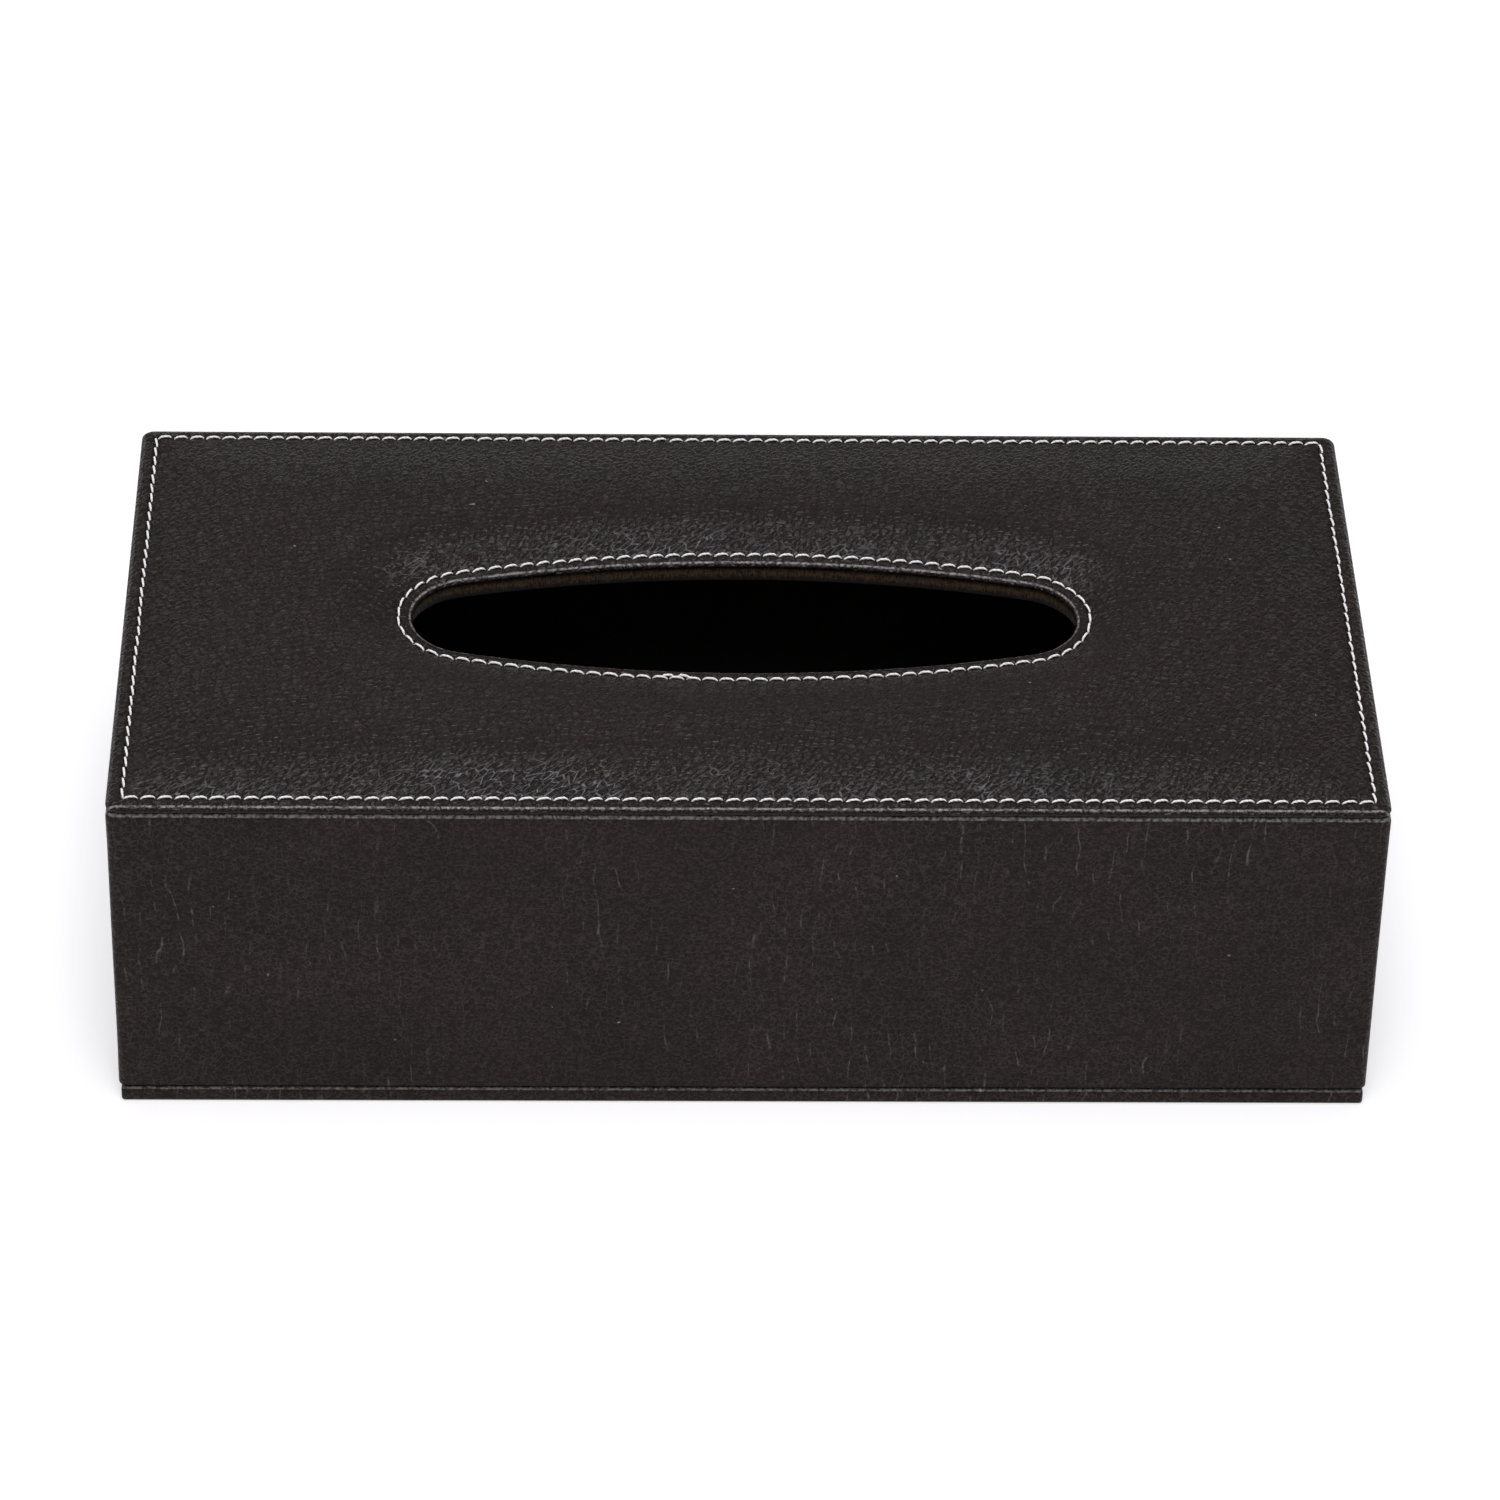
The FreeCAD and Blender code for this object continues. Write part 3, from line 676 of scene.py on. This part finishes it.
def base_profiles():
    """Inset and level of each ring of the base's skin, and of the same rings along the hinge."""
    inside = [(inset, LEATHER) for inset in (*BASE_INSETS[::-1], BASE_HEM, LEATHER)]
    inside += [(LEATHER, BASE_TOP - LEATHER), (BASE_HEM, BASE_TOP - LEATHER)]
    hem = [(BASE_HEM, BASE_TOP - 0.1 * MM)]
    hem += [(inset, BASE_TOP) for inset in (BASE_HEM - 0.1 * MM, 4 * MM, LEATHER)]
    upper = [(LEATHER * (1 - math.sin(a)), BASE_TOP - LEATHER * (1 - math.cos(a))) for a in quarter(5)]
    middle = [(0.0, BASE_TOP / 2), (0.0, LEATHER)]
    lower = [(LEATHER * (1 - math.cos(a)), LEATHER * (1 - math.sin(a))) for a in quarter(5)]
    under = [(inset, 0.0) for inset in (BASE_HEM, *BASE_INSETS)]
    bridge = LEATHER - HINGE_BRIDGE
    drop = np.linspace(BASE_TOP, LEATHER, len(upper) + 3)[1:-1]
    cut = [(bridge, level) for level in drop] + [(0.0, LEATHER)]
    return inside + hem + upper + middle + lower + under, inside + hem + cut + lower + under


def make_base_cover(material):
    """The base's skin: a full underside, rolled edges and a hem on top, open along the hinge."""
    outline = base_ring(0.0)
    along_hinge = along_web(outline, base_high.y)
    rings = []
    for plain, cut in zip(*base_profiles()):
        ring = at_level(base_ring(plain[0]), plain[1])
        ring[along_hinge] = at_level(base_ring(cut[0]), cut[1])[along_hinge]
        rings.append(ring)
    return ring_piece("base_cover", rings, False, material, "base_flap", "base_leather")


# Strips of one section

def section_piece(name, section, stations, material, body, node):
    """A closed section in Y and Z, repeated at stations along X and capped at both ends."""
    rings = [[(station, y, z) for y, z in section] for station in stations]
    return ring_piece(name, rings, False, material, body, node)


HINGE_GROOVE = 0.3 * MM
HINGE_ROWS = 44


def make_hinge(material):
    """The leather web on which the base swings, with a groove pressed along its axis."""
    rise = np.linspace(hinge_high.z, hinge_low.z, HINGE_ROWS)
    groove = HINGE_GROOVE * np.exp(-((rise - HINGE[2]) / HINGE_GROOVE) ** 2)
    section = [(hinge_high.y - depth, level) for depth, level in zip(groove, rise)]
    back = hinge_low.y + HINGE_BRIDGE + 0.01 * MM
    section += [(back, level) for level in rise[::-1]]
    stations = np.linspace(hinge_low.x, hinge_high.x, 120)
    piece = section_piece("hinge_web", section, stations, material, None, "hinge_strip")
    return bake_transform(piece)


# Lining

SHEET_EDGE = 0.5 * MM
SHEET_STEP = 6 * MM
PILE_WAVES = 0.04 * MM
PILE_WAVE_SIZE = 25 * MM
PILE_WAVE_SEED = 8.3


def sheet_lines(length):
    """Places of the grid lines across a sheet, close together along its soft edges."""
    edge = np.array((0.0, 0.06, 0.2, 0.45, 1.0)) * SHEET_EDGE
    middle = np.linspace(SHEET_EDGE, length - SHEET_EDGE, max(3, round(length / SHEET_STEP)))[1:-1]
    return np.concatenate([edge, middle, (length - edge)[::-1]])


def make_sheet(name, node, body, material):
    """A flat piece of lining cloth with soft edges, in the place of its solid."""
    low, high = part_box(node)
    size = high - low
    thin = min(range(3), key=lambda axis: size[axis])
    first, second = [axis for axis in range(3) if axis != thin]
    a = sheet_lines(size[first])
    b = sheet_lines(size[second])
    grid_a, grid_b = np.meshgrid(a, b, indexing="ij")
    margin = np.minimum(np.minimum(grid_a, size[first] - grid_a), np.minimum(grid_b, size[second] - grid_b))
    round_off = np.clip(1 - margin / SHEET_EDGE, 0, 1)
    thick = size[thin] / 2 * np.sqrt(1 - round_off ** 2)
    waves = low_noise(grid_a.ravel(), grid_b.ravel(), PILE_WAVE_SIZE, PILE_WAVE_SEED).reshape(grid_a.shape)
    thick = np.where(round_off > 0, thick, thick - PILE_WAVES * (0.5 + 0.5 * waves))
    rows, columns = grid_a.shape
    index = np.arange(rows * columns).reshape(rows, columns)
    other = index.copy()
    other[1:-1, 1:-1] = rows * columns + np.arange((rows - 2) * (columns - 2)).reshape(rows - 2, columns - 2)
    points = np.zeros((rows * columns + (rows - 2) * (columns - 2), 3))
    quads = []
    for side, places in ((1, index), (-1, other)):
        points[places, first] = low[first] + grid_a
        points[places, second] = low[second] + grid_b
        points[places, thin] = low[thin] + size[thin] / 2 + side * thick
        corners = (places[:-1, :-1], places[1:, :-1], places[1:, 1:], places[:-1, 1:])
        quads.append(np.stack(corners[::side], axis=-1).reshape(-1, 4))
    piece = add_mesh(name, points, np.concatenate(quads), [], material, body, node)
    return piece


def make_top_lining(material):
    """Lining under the top board, with the slot cut out."""
    low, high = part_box("top_lining")
    growth = COLLAR_RECESS + COLLAR_TAPE + 0.1 * MM
    soft = 0.2 * MM
    counts = (160, 40)
    spots = (np.linspace(-1, 1, counts[0] - 3), np.linspace(-1, 1, counts[1] - 3))
    inner = slot_ring(growth, counts, 2)[0]
    outer = rectangle_ring(high.x, high.y, SMALLEST_CORNER, spots, 4)
    edge = 0.006
    shares = [edge, *np.linspace(0, 1, 14)[1:-1], 1 - edge]
    profile = [(share, low.z) for share in shares] + [(1.0, low.z + soft), (1.0, high.z - soft)]
    profile += [(share, high.z) for share in shares[::-1]] + [(0.0, high.z - soft), (0.0, low.z + soft)]
    rings = [at_level(inner + (outer - inner) * share, level) for share, level in profile]
    piece = ring_piece("top_lining_cloth", rings, True, material, "case", "top_lining")
    return piece


def make_rear_lining(material):
    """Lining of the rear wall, carried under the lower edge of its board."""
    low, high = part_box("rear_lining")
    thick = 0.7 * MM
    soft = 0.2 * MM
    face = low.y
    section = [(face, level) for level in np.linspace(high.z - soft, low.z + soft, 14)]
    section += [(face + soft, low.z)]
    section += [(across, low.z) for across in np.linspace(face + 1 * MM, high.y - soft, 4)]
    section += [(high.y, low.z + soft), (high.y, low.z + thick - soft), (high.y - soft, low.z + thick)]
    section += [(face + thick, low.z + thick), (face + thick, high.z - soft)]
    section += [(face + thick - soft, high.z), (face + soft, high.z)]
    stations = np.linspace(low.x, high.x, 42)
    piece = section_piece("rear_lining_cloth", section, stations, material, "case", "rear_lining")
    return piece


# Materials

def feed(tree, socket, value):
    """Joins a socket to another one, or sets it to a plain value."""
    if isinstance(value, bpy.types.NodeSocket):
        tree.links.new(value, socket)
    else:
        socket.default_value = value


def add_node(tree, kind, sockets=None, **settings):
    node = tree.nodes.new("ShaderNode" + kind)
    for name, value in settings.items():
        setattr(node, name, value)
    for name, value in (sockets or {}).items():
        feed(tree, node.inputs[name], value)
    return node


class Finish:
    """A material's nodes, with short ways to add and join them."""

    def __init__(self, name):
        self.material = bpy.data.materials.new(name)
        self.material.use_nodes = True
        self.tree = self.material.node_tree
        self.shader = self.tree.nodes["Principled BSDF"]
        place = self.add("TexCoord").outputs["Object"]
        self.place = self.vector("SCALE", place, scale=1 / MM)  # position in millimetres

    def add(self, kind, sockets=None, **settings):
        return add_node(self.tree, kind, sockets, **settings)

    def shade(self, **values):
        """Sets or joins the shader's own sockets, named with _ for a space, and gives the material."""
        for name, value in values.items():
            feed(self.tree, self.shader.inputs[name.replace("_", " ")], value)
        return self.material

    def vector(self, operation, first, second=None, scale=None):
        sockets = {0: first, 1: second, "Scale": scale}
        sockets = {name: value for name, value in sockets.items() if value is not None}
        return self.add("VectorMath", sockets, operation=operation).outputs[0]

    def length(self, vector):
        return self.add("VectorMath", {0: vector}, operation="LENGTH").outputs["Value"]

    def math(self, operation, first, second=0.0, third=0.0):
        return self.add("Math", {0: first, 1: second, 2: third}, operation=operation).outputs[0]

    def sized(self, place, size, turn=0.0):
        """The place counted in cells of a size in millimetres, turned about the upright axis."""
        sockets = {"Vector": place, "Scale": size, "Rotation": (0.0, 0.0, math.radians(turn))}
        return self.add("Mapping", sockets, vector_type="TEXTURE").outputs["Vector"]

    def noise(self, place, scale, detail=2.0, roughness=0.5):
        sockets = {"Vector": place, "Scale": scale, "Detail": detail, "Roughness": roughness}
        return self.add("TexNoise", sockets).outputs["Fac"]

    def warped(self, place, scale, amount):
        """The place, pushed about by noise."""
        push = self.add("TexNoise", {"Vector": place, "Scale": scale, "Detail": 2.0}).outputs["Color"]
        push = self.vector("SUBTRACT", push, (0.5, 0.5, 0.5))
        return self.vector("ADD", place, self.vector("SCALE", push, scale=amount))

    def cells(self, place, scale, feature="DISTANCE_TO_EDGE"):
        sockets = {"Vector": place, "Scale": scale}
        return self.add("TexVoronoi", sockets, feature=feature).outputs["Distance"]

    def between(self, value, low, high, start=0.0, end=1.0):
        """The value, carried smoothly from one range to another."""
        sockets = {"Value": value, "From Min": low, "From Max": high, "To Min": start, "To Max": end}
        return self.add("MapRange", sockets, interpolation_type="SMOOTHSTEP").outputs["Result"]

    def colours(self, share, low, high):
        """A colour for each share from 0 to 1, between two that are given with their shares."""
        ramp = self.add("ValToRGB", {"Fac": share})
        for element, (place, colour) in zip(ramp.color_ramp.elements, (low, high)):
            element.position = place
            element.color = (*colour, 1.0)
        return ramp.outputs["Color"]

    def blend(self, share, first, second):
        return self.add("Mix", {0: share, 6: first, 7: second}, data_type="RGBA").outputs[2]

    def bump(self, height, depth):
        """A relief of a depth in metres."""
        sockets = {"Height": height, "Distance": depth, "Strength": 1.0}
        return self.add("Bump", sockets).outputs["Normal"]

    def split(self, vector):
        return self.add("SeparateXYZ", {"Vector": vector}).outputs

    def cloth(self, colour, relief, depth, roughness, specular, sheen):
        self.shade(Base_Color=colour, Roughness=roughness, Specular_IOR_Level=specular)
        return self.shade(Sheen_Weight=sheen, Normal=self.bump(relief, depth))

    def times(self, first, second):
        return self.math("MULTIPLY", first, second)


def slot_reach(n):
    """Distance in millimetres outside the slot's opening."""
    flat = n.vector("MULTIPLY", n.vector("ABSOLUTE", n.place), (1.0, 1.0, 0.0))
    from_side = n.length(n.vector("ADD", flat, (0.0, SLOT_DROP / MM, 0.0)))
    from_side = n.math("SUBTRACT", from_side, SLOT_SIDE / MM)
    from_end = n.length(n.vector("SUBTRACT", flat, (SLOT_REACH / MM, 0.0, 0.0)))
    from_end = n.math("SUBTRACT", from_end, SLOT_END / MM)
    parts = n.split(flat)
    past_end = n.math("SUBTRACT", parts["X"], SLOT_REACH / MM)
    limit = n.times(parts["Y"], SLOT_REACH / SLOT_DROP)
    at_end = n.math("GREATER_THAN", past_end, limit)
    return n.math("MULTIPLY_ADD", at_end, n.math("SUBTRACT", from_end, from_side), from_side)


def band(n, value, low, high, soft):
    """One between two values, fading to nothing outside them."""
    return n.times(n.between(value, low - soft, low), n.between(value, high, high + soft, 1.0, 0.0))


def leather(n, grain, glint_reach, wear_and_highlight):
    """Dark leatherette: fine pebbles with painted shade in the creases between them, long creases whose
    raised lips carry painted highlights, pores, specks of dust, and lighter bands that are partly wear and
    partly painted highlight."""
    pebble_place = n.sized(n.warped(n.place, 0.5, 0.9), grain["pebble_size"], grain["turn"])
    pebble = n.between(n.cells(pebble_place, 1.0), 0.0, grain["pebble_width"])
    crease_place = n.warped(n.sized(n.place, grain["crease_size"], grain["turn"]), 0.9, 0.2)
    crease = n.between(n.cells(crease_place, 1.0), 0.0, grain["crease_width"], 1.0, 0.0)
    pores = n.noise(n.place, 2.2, 2.0, 0.6)
    broken = n.between(n.noise(n.place, 0.45, 2.0), 0.3, 0.55)
    # Painted highlight: the lips of the long creases are made lighter in colour where this mask is high,
    # standing in for light catching them
    line = n.times(n.times(crease, broken), glint_reach)
    height = n.times(pebble, grain["pebble_depth"])
    height = n.math("MULTIPLY_ADD", line, grain["crease_rise"], height)
    height = n.math("MULTIPLY_ADD", pores, grain["pore_depth"], height)
    tone = n.math("MULTIPLY_ADD", n.noise(n.place, 0.05, 3.0, 0.6), 0.3, n.times(pores, 0.7))
    colour = n.colours(tone, (0.36, grain["dark"]), (0.64, grain["light"]))
    # Painted shade: the creases between pebbles are darkened towards the dark colour
    colour = n.blend(n.between(pebble, 0.0, 1.0, grain["crease_shade_share"], 0.0), colour, (*grain["dark"], 1.0))
    # Painted highlight on the crease lips, in the line colour
    colour = n.blend(n.times(line, grain["line_share"]), colour, (*grain["line"], 1.0))
    # Lighter bands, partly wear and partly painted highlight, broken up by noise
    wear_and_highlight = n.times(wear_and_highlight, n.between(n.noise(n.place, 1.3, 2.0, 0.6), 0.36, 0.64, 0.12, 1.1))
    colour = n.blend(wear_and_highlight, colour, (*grain["wear_and_highlight"], 1.0))
    dust = n.between(n.cells(n.warped(n.place, 0.2, 4.0), 0.1, "F1"), 0.018, 0.036, 0.8, 0.0)
    colour = n.blend(dust, colour, (0.26, 0.25, 0.24, 1.0))
    rough = n.between(pebble, 0.0, 1.0, grain["rough"], grain["smooth"])
    n.shade(Base_Color=colour, Roughness=rough, Specular_IOR_Level=grain["specular"])
    return n.shade(Normal=n.bump(height, MM))


def top_grain():
    """The top panel's leather: painted highlights on the crease lips along the front seam, more on its left
    half, and behind the slot, and painted highlight bands, partly wear, on its rolled edges and along the
    slot's lip.
    """
    n = Finish("top_leather_grain")
    inside = n.vector("SUBTRACT", (HALF_LENGTH / MM, HALF_DEPTH / MM, 0.0), n.vector("ABSOLUTE", n.place))
    short, long = n.split(inside)[:2]  # distances inside the short and the long sides
    edge = n.math("MINIMUM", short, long)
    slot = slot_reach(n)
    across, back = n.split(n.place)[:2]
    # Painted highlight: crease lips are lightened near the front seam, more on the left half, and behind the
    # slot, where the light catches the crown and the dip
    front = n.between(back, -HALF_DEPTH / MM + 5.0, -HALF_DEPTH / MM + 19.0, 1.0, 0.03)
    front = n.times(front, n.between(short, 4.0, 30.0, 0.3, 1.0))
    front = n.times(front, n.between(across, 0.0, 75.0, 1.0, 0.35))
    behind = n.times(n.between(slot, 5.0, 15.0, 0.68, 0.03), n.between(back, 6.0, 17.0, 0.12, 1.0))
    face = n.between(n.math("MINIMUM", edge, slot), 2.6, 3.6)
    patches = n.between(n.noise(n.place, 0.03, 2.0), 0.38, 0.62, 0.35, 1.15)
    glint_reach = n.times(n.times(n.math("MAXIMUM", front, behind), face), patches)
    # Painted highlight bands, partly wear, on the rolled long edges and the slot's lip where the lamp glints,
    # weaker on the short edges
    wear_and_highlight = n.math("MAXIMUM", band(n, long, 0.55, 0.75, 0.18), band(n, slot, 0.5, 0.7, 0.18))
    wear_and_highlight = n.math("MULTIPLY_ADD", band(n, short, 0.55, 0.75, 0.18), 0.2, wear_and_highlight)
    return leather(n, TOP_GRAIN, glint_reach, wear_and_highlight)


def wall_grain():
    """The leather of the walls and base, with lighter upright streaks, and painted highlight lines, partly
    wear, along the upper edges of both.
    """
    n = Finish("wall_leather_grain")
    across, along, height = n.split(n.place)
    top = PANEL_BOTTOM / MM
    base = BASE_TOP / MM
    drift = n.noise(n.sized(n.place, (8.0, 8.0, 16.0)), 1.0, 2.0, 0.5)
    lane = n.math("MULTIPLY_ADD", n.math("ADD", across, along), 0.3, n.times(drift, 2.4))
    streak = n.between(n.math("PINGPONG", lane, 0.5), 0.0, 0.075, 1.0, 0.0)
    broken = n.between(n.noise(n.sized(n.place, (2.5, 2.5, 6.0)), 1.0, 2.0), 0.48, 0.6)
    patches = n.between(n.noise(n.place, 0.04, 2.0), 0.42, 0.6, 0.06, 0.5)
    streak = n.times(n.times(streak, broken), patches)
    # Painted highlight lines, partly wear, along the base's upper edge and the walls' upper rounding
    base_edge_highlight = n.times(band(n, height, base - 0.15, base, 0.15), 0.55)
    edges = n.math("MAXIMUM", band(n, height, top - 0.75, top - 0.45, 0.3), base_edge_highlight)
    # How strongly the crease lips carry painted highlight, varying at random over the walls
    glint_reach = n.between(n.noise(n.place, 0.035, 2.0), 0.35, 0.65, 0.6, 1.0)
    return leather(n, WALL_GRAIN, glint_reach, n.math("MAXIMUM", edges, streak))


def thread():
    """Off-white twisted thread with fine fibres."""
    n = Finish("thread")
    fibres = n.noise(n.place, 9.0, 4.0, 0.7)
    colour = n.colours(fibres, (0.3, (0.76, 0.74, 0.725)), (0.6, (0.92, 0.905, 0.9)))
    return n.cloth(colour, fibres, 0.05 * MM, roughness=0.75, specular=0.3, sheen=0.2)


def ribbed_tape():
    """Brown woven tape: fine upright ribs with crossing threads."""
    n = Finish("ribbed_tape")
    weave = n.noise(n.sized(n.place, (0.24, 0.24, 1.25)), 1.0, 3.0, 0.6)
    cross = n.noise(n.sized(n.place, (1.4, 1.4, 0.2)), 1.0, 2.0, 0.5)
    share = n.times(weave, n.between(cross, 0.2, 0.8, 0.75, 1.15))
    # The tape is darker towards its foot
    height = n.split(n.place)["Z"]
    foot = collar_low.z / MM
    share = n.times(share, n.between(height, foot, foot + 2.2, 0.55, 1.1))
    colour = n.colours(share, (0.34, (0.005, 0.003, 0.0018)), (0.58, (0.105, 0.064, 0.035)))
    return n.cloth(colour, share, 0.2 * MM, roughness=0.85, specular=0.2, sheen=0.15)


def pile():
    """Dark lining cloth with a short pile."""
    n = Finish("pile")
    fibres = n.noise(n.place, 5.5, 4.0, 0.75)
    brushed = n.noise(n.sized(n.place, (20.0, 20.0, 50.0)), 1.0, 3.0, 0.5)
    share = n.math("MULTIPLY_ADD", brushed, 0.5, n.times(fibres, 0.5))
    colour = n.colours(share, (0.3, (0.006, 0.005, 0.004)), (0.7, (0.02, 0.015, 0.012)))
    return n.cloth(colour, fibres, 0.25 * MM, roughness=0.95, specular=0.1, sheen=0.1)


def foam():
    """Grey open-celled foam."""
    n = Finish("foam")
    pockets = n.cells(n.warped(n.place, 1.0, 0.3), 1.6, "F1")
    colour = n.colours(pockets, (0.1, (0.08, 0.08, 0.085)), (0.6, (0.36, 0.36, 0.37)))
    return n.shade(Base_Color=colour, Roughness=0.95, Normal=n.bump(pockets, 0.4 * MM))


def fibreboard():
    """Brown fibreboard with short pressed fibres."""
    n = Finish("fibreboard")
    chips = n.noise(n.sized(n.warped(n.place, 0.3, 2.0), (1.2, 1.2, 0.4)), 1.0, 5.0, 0.7)
    colour = n.colours(chips, (0.3, (0.26, 0.17, 0.1)), (0.7, (0.5, 0.36, 0.22)))
    return n.shade(Base_Color=colour, Roughness=0.85, Normal=n.bump(chips, 0.12 * MM))


def plated(name, dark, light, roughness):
    """Plated or rolled metal with fine drawn lines."""
    n = Finish(name)
    lines = n.noise(n.sized(n.place, (5.0, 0.17, 0.17)), 1.0, 3.0, 0.6)
    colour = n.colours(lines, (0.3, dark), (0.7, light))
    rough = n.between(lines, 0.2, 0.8, roughness, roughness + 0.15)
    return n.shade(Base_Color=colour, Metallic=1.0, Roughness=rough, Normal=n.bump(lines, 0.02 * MM))


# In each grain the line colour and the lighter band colour are painted highlights, the bands partly wear, and
# a share of painted shade darkens the creases between pebbles
TOP_GRAIN = {
    "pebble_size": (1.75, 1.3, 1.4), "pebble_width": 0.26, "pebble_depth": 0.16,
    "crease_shade_share": 0.85, "turn": 44.0,
    "crease_size": (3.9, 1.1, 3.0), "crease_width": 0.065, "crease_rise": 0.08, "pore_depth": 0.06,
    "dark": (0.0058, 0.0036, 0.0028), "light": (0.0155, 0.0088, 0.0058), "line": (0.3, 0.293, 0.312),
    "line_share": 0.6, "wear_and_highlight": (0.225, 0.213, 0.214), "specular": 0.185, "smooth": 0.21, "rough": 0.38,
}
WALL_GRAIN = {
    "pebble_size": (1.55, 1.55, 1.3), "pebble_width": 0.26, "pebble_depth": 0.08,
    "crease_shade_share": 0.6, "turn": 0.0,
    "crease_size": (1.25, 1.25, 1.6), "crease_width": 0.11, "crease_rise": 0.03, "pore_depth": 0.04,
    "dark": (0.0042, 0.0028, 0.0022), "light": (0.0312, 0.0215, 0.0174), "line": (0.11, 0.094, 0.086),
    "line_share": 0.26, "wear_and_highlight": (0.2, 0.19, 0.185), "specular": 0.12, "smooth": 0.3, "rough": 0.5,
}

top_leather = top_grain()
wall_leather = wall_grain()
off_white = thread()
lining = pile()
board = fibreboard()
nickel = plated("nickel", (0.5, 0.48, 0.45), (0.68, 0.66, 0.62), 0.22)
steel = plated("steel", (0.36, 0.36, 0.37), (0.52, 0.52, 0.53), 0.35)

# Pieces
make_top_cover(top_leather)
make_foam(foam())
make_edge_stitching(off_white)
make_slot_stitching(off_white)
make_collar(ribbed_tape())
make_wall_cover(wall_leather)
make_base_cover(wall_leather)
make_hinge(wall_leather)
make_top_lining(lining)
make_rear_lining(lining)
for wall in ("front", "left", "right"):
    make_sheet(wall + "_lining_cloth", wall + "_lining", "case", lining)
make_sheet("base_lining_cloth", "base_lining", "base_flap", lining)

KEPT_NODES = {
    "top_board": board, "front_wall_board": board, "rear_wall_board": board, "left_wall_board": board,
    "right_wall_board": board, "base_board": board, "wall_magnets": nickel, "base_keepers": steel,
}
for node, material in KEPT_NODES.items():
    mesh = frame["nodes"][node].data
    mesh.materials.clear()
    mesh.materials.append(material)


# Floor, light and camera

WHITE = (1.0, 1.0, 1.0, 1.0)
FLOOR_REACH = 4.0
FLOOR_COLOUR = (0.6, 0.6, 0.605, 1.0)
FLOOR_GLOW = 0.51
HORIZON_FADE = 0.12  # how far up the white round the horizon reaches


def seen_white(tree, strength):
    """An emission that only the camera, reflections and clear materials see."""
    path = add_node(tree, "LightPath").outputs
    seen = path["Is Camera Ray"]
    for kind in ("Is Glossy Ray", "Is Transmission Ray"):
        seen = add_node(tree, "Math", {0: seen, 1: path[kind]}, operation="MAXIMUM").outputs[0]
    return add_node(tree, "Math", {0: seen, 1: strength}, operation="MULTIPLY").outputs[0]


def make_floor():
    mesh = bpy.data.meshes.new("floor")
    corners = [(x * FLOOR_REACH, y * FLOOR_REACH, 0) for x, y in ((-1, -1), (1, -1), (1, 1), (-1, 1))]
    mesh.from_pydata(corners, [], [(0, 1, 2, 3)])
    floor = linked("floor", mesh)
    n = Finish("white_floor")
    n.shade(Base_Color=FLOOR_COLOUR, Roughness=1.0, Specular_IOR_Level=0.0, Emission_Color=WHITE)
    n.shade(Emission_Strength=seen_white(n.tree, FLOOR_GLOW))
    mesh.materials.append(n.material)


def make_world(level):
    """White round the horizon, and dimmer overhead."""
    world = bpy.data.worlds.new("studio")
    bpy.context.scene.world = world
    world.use_nodes = True
    tree = world.node_tree
    direction = add_node(tree, "TexCoord").outputs["Generated"]
    height = add_node(tree, "SeparateXYZ", {0: direction}).outputs["Z"]
    sockets = {"Value": height, "From Min": 0.0, "From Max": HORIZON_FADE, "To Min": 1.0, "To Max": level}
    fade = add_node(tree, "MapRange", sockets, interpolation_type="SMOOTHSTEP").outputs["Result"]
    background = tree.nodes["Background"].inputs
    feed(tree, background["Color"], WHITE)
    feed(tree, background["Strength"], fade)


def make_lamp(name, place, aim, size, power, colour):
    data = bpy.data.lights.new(name, "AREA")
    data.shape = "RECTANGLE"
    data.size, data.size_y = size
    data.energy = power
    data.color = colour
    lamp = linked(name, data)
    lamp.location = place
    lamp.rotation_euler = (Vector(aim) - Vector(place)).to_track_quat("-Z", "Y").to_euler()


# Camera fitted to the photo's corners: angles, distance and offsets of the view's middle
PITCH = math.radians(37.058)
YAW = math.radians(1.806)
ROLL_ANGLE = math.radians(1.331)
CAMERA_DISTANCE = 1332.2 * MM
CAMERA_SHIFT = (-1.812 * MM, -3.411 * MM)
CAMERA_TARGET = Vector((0, 0, 35 * MM))
FOCAL_PIXELS = 6484.3
PICTURE_PIXELS = 1500
SENSOR = 36.0


def make_camera():
    ahead = Vector((math.cos(PITCH) * math.sin(YAW), math.cos(PITCH) * math.cos(YAW), -math.sin(PITCH)))
    right = Vector((math.cos(YAW), -math.sin(YAW), 0))
    up = right.cross(ahead)
    turned_right = right * math.cos(ROLL_ANGLE) + up * math.sin(ROLL_ANGLE)
    turned_up = up * math.cos(ROLL_ANGLE) - right * math.sin(ROLL_ANGLE)
    aside = turned_right * CAMERA_SHIFT[0] + turned_up * CAMERA_SHIFT[1]
    place = CAMERA_TARGET - ahead * CAMERA_DISTANCE - aside
    data = bpy.data.cameras.new("camera")
    data.sensor_width = SENSOR
    data.lens = FOCAL_PIXELS / PICTURE_PIXELS * SENSOR
    data.clip_start = 0.05
    data.clip_end = 50.0
    camera = linked("camera", data)
    facing = Matrix((turned_right, turned_up, -ahead)).transposed().to_4x4()
    camera.matrix_world = Matrix.Translation(place) @ facing
    bpy.context.scene.camera = camera


make_floor()
make_world(level=0.28)
make_lamp(
    "overhead", place=(0.0, -0.46, 1.3), aim=(0.0, -0.46, 0.0),
    size=(0.5, 1.25), power=16.3, colour=(0.98, 0.95, 0.985),
)
make_lamp(
    "rear", place=(0.0, 0.7, 1.25), aim=(0.0, 0.0, 0.07),
    size=(0.8, 0.36), power=3.0, colour=(0.88, 0.84, 1.0),
)
make_camera()
bpy.context.scene.view_settings.view_transform = "Standard"
